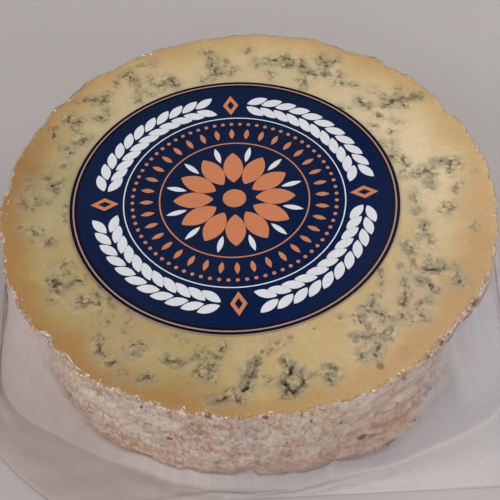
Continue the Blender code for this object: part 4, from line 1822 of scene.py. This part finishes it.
@dataclass
class Label:
    """The round label: satin paper printed with rings, leaf sprays and a rosette."""

    ink_height: float = 0.04 * MM
    band_inner: float = 67.0 * MM
    ring_inner: float = 68.25 * MM
    ring_outer: float = 68.9 * MM
    lip: float = 0.08 * MM
    spray_leaves: int = 11
    spray_half_sweep: float = 33.0
    lozenge_ring: float = 55.3 * MM
    segments: int = 256
    inks: dict[Ink, bpy.types.Material] = field(default_factory=dict)
    centre: Vector = field(default_factory=Vector)
    radius: float = 0.0
    top: float = 0.0

    def measure(self) -> None:
        """Take the label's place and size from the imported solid, and mix the inks."""
        low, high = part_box("label")
        self.centre = (low + high) / 2.0
        self.radius = (high.x - low.x) / 2.0
        self.top = high.z
        self.inks = {ink: ink.value.build() for ink in Ink}

    def place(self, piece: bpy.types.Object) -> bpy.types.Object:
        """Let a finished piece ride with the part.

        Args:
            piece: The piece.

        Returns:
            The same piece.
        """
        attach(piece, BODY)
        return piece

    def circle(self, radius: float, height: float) -> np.ndarray:
        """Points round the label's middle.

        Args:
            radius: Radius of the circle.
            height: Its height.

        Returns:
            The points, segments by 3.
        """
        turn = np.linspace(0.0, 2.0 * math.pi, self.segments, endpoint=False)
        across, along = self.centre.x + radius * np.cos(turn), self.centre.y + radius * np.sin(turn)
        return np.stack([across, along, np.full_like(turn, height)], -1)

    def sheet(self) -> bpy.types.Object:
        """Make the paper disc, with its pale cut edge, near-black outer band and navy field.

        Returns:
            The piece.
        """
        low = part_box("label")[0].z
        profile = (
            (self.radius * 0.5, low),
            (self.radius - self.lip, low),
            (self.radius, low + self.lip),
            (self.radius, self.top - self.lip),
            (self.radius - 2.0 * self.lip, self.top),
            (self.band_inner, self.top),
            (self.radius * 0.5, self.top),
        )
        rings = np.array([self.circle(radius, height) for radius, height in profile])
        piece = plain_piece("label_sheet", grid_mesh("label_sheet", rings))
        for ink in (Ink.PAPER, Ink.BLACK, Ink.NAVY):
            piece.data.materials.append(self.inks[ink])
        for face in piece.data.polygons:
            in_band = (face.center - self.centre).xy.length > self.band_inner - 0.1 * MM
            face.material_index = (1 if in_band else 2) if face.normal.z > 0.9 else 0
        piece.data.set_sharp_from_angle(angle=math.radians(12.0))
        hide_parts("label")
        return self.place(piece)

    def ring(self, name: str, inner: float, outer: float, ink: Ink) -> bpy.types.Object:
        """Print a thin ring, closed all round.

        Args:
            name: Its name.
            inner: Inner radius.
            outer: Outer radius.
            ink: Its ink.

        Returns:
            The piece.
        """
        low, high = self.top + 0.3 * self.ink_height, self.top + self.ink_height
        corners = ((inner, low), (outer, low), (outer, high), (inner, high))
        points = np.concatenate([self.circle(radius, height) for radius, height in corners])
        count = self.segments
        here = np.arange(count)
        after = (here + 1) % count
        starts = [(side * count, (side + 1) % 4 * count) for side in range(4)]
        faces = [np.stack([a + here, a + after, b + after, b + here], -1) for a, b in starts]
        mesh = bpy.data.meshes.new(name)
        mesh.from_pydata(points.tolist(), [], np.concatenate(faces).tolist())
        mesh.shade_flat()
        return self.place(plain_piece(name, mesh, self.inks[ink]))

    def motif_rule(self) -> bpy.types.NodeTree:
        """Write the tree that sets motifs along an arc round the label's middle.

        Returns:
            The tree.
        """
        numbers = {
            "Count": 8, "Start": 0.0, "Sweep": 6.0, "Ring Radius": 0.05, "Tilt": 0.0,
            "Width": 0.002, "Length": 0.004, "Pointed": 1.0, "Sides": 16, "Thickness": 0.00004,
            "Centre X": 0.0, "Centre Y": 0.0, "Height": 0.05,
        }
        graph = new_rule("printed_motifs", numbers)
        give = graph.given
        filled = {"fill_type": "NGON"}
        sizes = {"Vertices": give("Sides"), "Radius": 1.0, "Depth": give("Thickness")}
        disc = graph.out("GeometryNodeMeshCylinder", "Mesh", filled, **sizes)
        x, y, z = graph.xyz(graph.out("GeometryNodeInputPosition"))
        pinch = graph.math("POWER", graph.math("ABSOLUTE", x), give("Pointed"))
        drawn = graph.combine(x * pinch * give("Width"), y * give("Length"), z)
        motif = graph.out("GeometryNodeSetPosition", Geometry=disc, Position=drawn)
        last = graph.most(give("Count") - 1.0, 1.0)
        turn = graph.out("GeometryNodeInputIndex") / last * give("Sweep") + give("Start")
        reach = give("Ring Radius")
        spot = graph.combine(graph.math("COSINE", turn) * reach, graph.math("SINE", turn) * reach)
        points = graph.out("GeometryNodePoints", Count=give("Count"), Position=spot)
        spin = graph.combine(z=turn - 0.5 * math.pi + give("Tilt"))
        placed = graph.out("GeometryNodeInstanceOnPoints", Points=points, Instance=motif, Rotation=spin)
        middle = graph.combine(give("Centre X"), give("Centre Y"), give("Height"))
        return graph.close(graph.out("GeometryNodeTransform", Geometry=placed, Translation=middle))

    def motifs(
        self, name: str, ink: Ink, motif: Motif, radius: float, count: int,
        start: float = 0.0, sweep: float = 360.0, tilt: float = 0.0, layer: int = 1,
    ) -> bpy.types.Object:
        """Print motifs along an arc.

        Args:
            name: Name of the piece.
            ink: Its ink.
            motif: Shape of each.
            radius: Radius of the arc.
            count: How many.
            start: Direction of the first, in degrees.
            sweep: Degrees to the last, or 360 for an even full ring.
            tilt: Degrees that each leans from pointing outwards.
            layer: 1 on the paper, 2 on another motif.

        Returns:
            The piece.
        """
        whole = sweep * (1.0 - 1.0 / count) if sweep == 360.0 else sweep
        piece = plain_piece(name, bpy.data.meshes.new(name))
        tree = bpy.data.node_groups.get("printed_motifs") or self.motif_rule()
        apply_rule(
            piece, tree, self.inks[ink],
            Count=count, Start=math.radians(start), Sweep=math.radians(whole), Ring_Radius=radius,
            Tilt=math.radians(tilt), Width=0.5 * motif.width, Length=0.5 * motif.length,
            Pointed=motif.pointed, Sides=motif.sides, Thickness=self.ink_height,
            Centre_X=self.centre.x, Centre_Y=self.centre.y, Height=self.top + (layer - 0.3) * self.ink_height,
        )
        return self.place(piece)

    def sprays(self) -> list[bpy.types.Object]:
        """Print four cream leaf sprays round the field, with a copper lozenge between each two.

        Returns:
            The pieces.
        """
        leaf, leaves, half = Motif(4.2 * MM, 9.6 * MM, 0.8), self.spray_leaves, self.spray_half_sweep
        made = []
        for quarter in range(4):
            start = 45.0 + 90.0 * quarter - half
            for side, radius, tilt in (("outer", 58.4 * MM, -62.0), ("inner", 52.2 * MM, -118.0)):
                name = f"spray_{side}_{quarter}"
                made.append(self.motifs(name, Ink.CREAM, leaf, radius, leaves, start, 2.0 * half, tilt))
        lozenge, eye = Motif(7.0 * MM, 12.0 * MM, 0.0, 4), Motif(3.2 * MM, 5.6 * MM, 0.0, 4)
        made.append(self.motifs("lozenges", Ink.COPPER, lozenge, self.lozenge_ring, 4))
        made.append(self.motifs("lozenge_eyes", Ink.NAVY, eye, self.lozenge_ring, 4, layer=2))
        return made

    def rosette(self) -> list[bpy.types.Object]:
        """Print the copper rosette in the middle, in rings of cream and copper dots.

        Returns:
            The pieces.
        """
        return [
            self.motifs("beads", Ink.COPPER, Motif(1.7 * MM, 1.7 * MM, 0.0, 12), 43.5 * MM, 72),
            self.motifs("darts", Ink.COPPER, Motif(2.2 * MM, 6.0 * MM), 37.5 * MM, 36),
            self.motifs("petals", Ink.COPPER, Motif(8.6 * MM, 17.0 * MM, 0.7, 28), 17.5 * MM, 12),
            self.motifs("small_petals", Ink.CREAM, Motif(2.4 * MM, 9.0 * MM), 25.5 * MM, 12, 15.0),
            self.motifs("eye", Ink.COPPER, Motif(10.0 * MM, 10.0 * MM, 0.0, 40), 0.0, 1),
        ]

    def build(self) -> list[bpy.types.Object]:
        """Make the label.

        Returns:
            Its pieces.
        """
        self.measure()
        rings = [
            self.ring("rose_ring", self.ring_inner, self.ring_outer, Ink.ROSE),
            self.ring("cream_hairline", 47.0 * MM, 47.5 * MM, Ink.CREAM),
            self.ring("copper_hairline", 31.6 * MM, 32.2 * MM, Ink.COPPER),
        ]
        return [self.sheet(), *rings, *self.sprays(), *self.rosette()]


@dataclass(frozen=True)
class Softbox:
    """An area light that looks at the cheese, square unless it is drawn out."""

    name: str
    place: tuple[float, float, float]
    side: float
    power: float
    colour: Colour = (255, 255, 255)
    stretch: float = 1.0
    spin: float = 0.0

    def hang(self) -> None:
        """Put the light in the scene."""
        lamp = bpy.data.lights.new(self.name, "AREA")
        lamp.shape = "RECTANGLE"
        lamp.size = self.side
        lamp.size_y = self.side * self.stretch
        lamp.energy = self.power
        lamp.color = linear(self.colour)[:3]
        holder = bpy.data.objects.new(self.name, lamp)
        holder.location = self.place
        aim = (-Vector(self.place)).to_track_quat("-Z", "Y").to_matrix()
        holder.rotation_euler = (aim @ Matrix.Rotation(math.radians(self.spin), 3, "Z")).to_euler()
        bpy.context.scene.collection.objects.link(holder)


@dataclass(frozen=True)
class FloorFinish:
    """Plain pale surface, a little uneven."""

    colour: Colour = (190, 186, 186)
    darker: float = 0.97
    cell: float = 240.0
    roughness: float = 0.75

    def build(self) -> bpy.types.Material:
        """Make the material.

        Returns:
            The material.
        """
        material, graph, shader = new_material("floor")
        darker = tuple(channel * self.darker for channel in self.colour)
        tint = graph.blend(graph.noise(graph.place(), self.cell, 1.0), self.colour, darker)
        graph.set(shader, Base_Color=tint, Roughness=self.roughness)
        return material


@dataclass
class Studio:
    """Pale floor, soft light, and the camera at the photo's angle."""

    floor_half: float = 3.0
    floor_drop: float = 0.3 * MM
    sky: Colour = (255, 252, 250)
    sky_gap: Colour = (20, 20, 22)
    sky_gap_towards: tuple[float, float, float] = (0.15, 0.62, 0.77)
    sky_gap_edge: tuple[float, float] = (0.9, 0.995)
    sky_strength: float = 0.37
    elevation: float = 51.705
    roll: float = -2.843
    camera_place: tuple[float, float, float] = (-0.07 * MM, -344.3 * MM, 454.5 * MM)
    lens: float = 90.0
    shift_up: float = -0.002
    finish: FloorFinish = field(default_factory=FloorFinish)
    lights: tuple[Softbox, ...] = (
        Softbox("window", (0.5, 0.32, 0.65), 0.8, 3.3, (255, 251, 246)),
        Softbox("left_fill", (-0.75, -0.95, 0.55), 0.8, 4.9, (255, 251, 248)),
        Softbox("right_fill", (0.85, -0.75, 0.5), 0.7, 3.9, (253, 252, 254)),
        Softbox("sparkle", (-0.77, -0.13, 0.62), 0.07, 1.9, (255, 246, 238), 6.0, 26.0),
    )

    def floor(self) -> None:
        """Lay the plain pale floor."""
        reach, down = self.floor_half, -self.floor_drop
        corners = [(-reach, -reach, down), (reach, -reach, down), (reach, reach, down), (-reach, reach, down)]
        mesh = bpy.data.meshes.new("floor")
        mesh.from_pydata(corners, [], [(0, 1, 2, 3)])
        plain_piece("floor", mesh, self.finish.build())

    def open_sky(self) -> None:
        """Set the sky, dark where the level film mirrors it, so that no glare veils the cheese."""
        world = bpy.data.worlds.new("soft_sky")
        world.use_nodes = True
        graph = Graph(world.node_tree)
        heading = graph.out("ShaderNodeTexCoord", "Generated")
        towards = tuple(Vector(self.sky_gap_towards).normalized())
        gap = graph.vector("DOT_PRODUCT", heading, towards).ramp(*self.sky_gap_edge)
        backdrop = world.node_tree.nodes["Background"]
        graph.set(backdrop, Color=graph.blend(gap, self.sky, self.sky_gap), Strength=self.sky_strength)
        bpy.context.scene.world = world
        bpy.context.scene.view_settings.view_transform = "Standard"

    def camera(self) -> None:
        """Set the camera up as the photo's."""
        tilt, roll = math.radians(self.elevation), math.radians(self.roll)
        back = Vector((0.0, -math.cos(tilt), math.sin(tilt)))
        level = Vector((1.0, 0.0, 0.0))
        upright = back.cross(level)
        right = math.cos(roll) * level + math.sin(roll) * upright
        up = -math.sin(roll) * level + math.cos(roll) * upright
        lens = bpy.data.cameras.new("camera")
        lens.lens = self.lens
        lens.sensor_width = 36.0
        lens.shift_y = self.shift_up
        lens.clip_start, lens.clip_end = 0.01, 20.0
        holder = bpy.data.objects.new("camera", lens)
        bpy.context.scene.collection.objects.link(holder)
        turn = Matrix((right, up, back)).transposed().to_4x4()
        holder.matrix_world = Matrix.Translation(self.camera_place) @ turn
        bpy.context.scene.camera = holder

    def build(self) -> None:
        """Make the whole stage."""
        self.floor()
        self.open_sky()
        for light in self.lights:
            light.hang()
        self.camera()


def main() -> None:
    """Build the pieces in order and report each."""
    logging.basicConfig(level=logging.INFO, format="%(message)s")
    Studio().build()
    builders: tuple[Callable[[], object], ...] = (Cheese().build, Pouch().build, Label().build)
    for build in builders:
        made = build()
        for piece in made if isinstance(made, list) else [made]:
            LOG.info("%s: %d vertices", piece.name, len(piece.data.vertices))


if __name__ == "__main__":
    main()
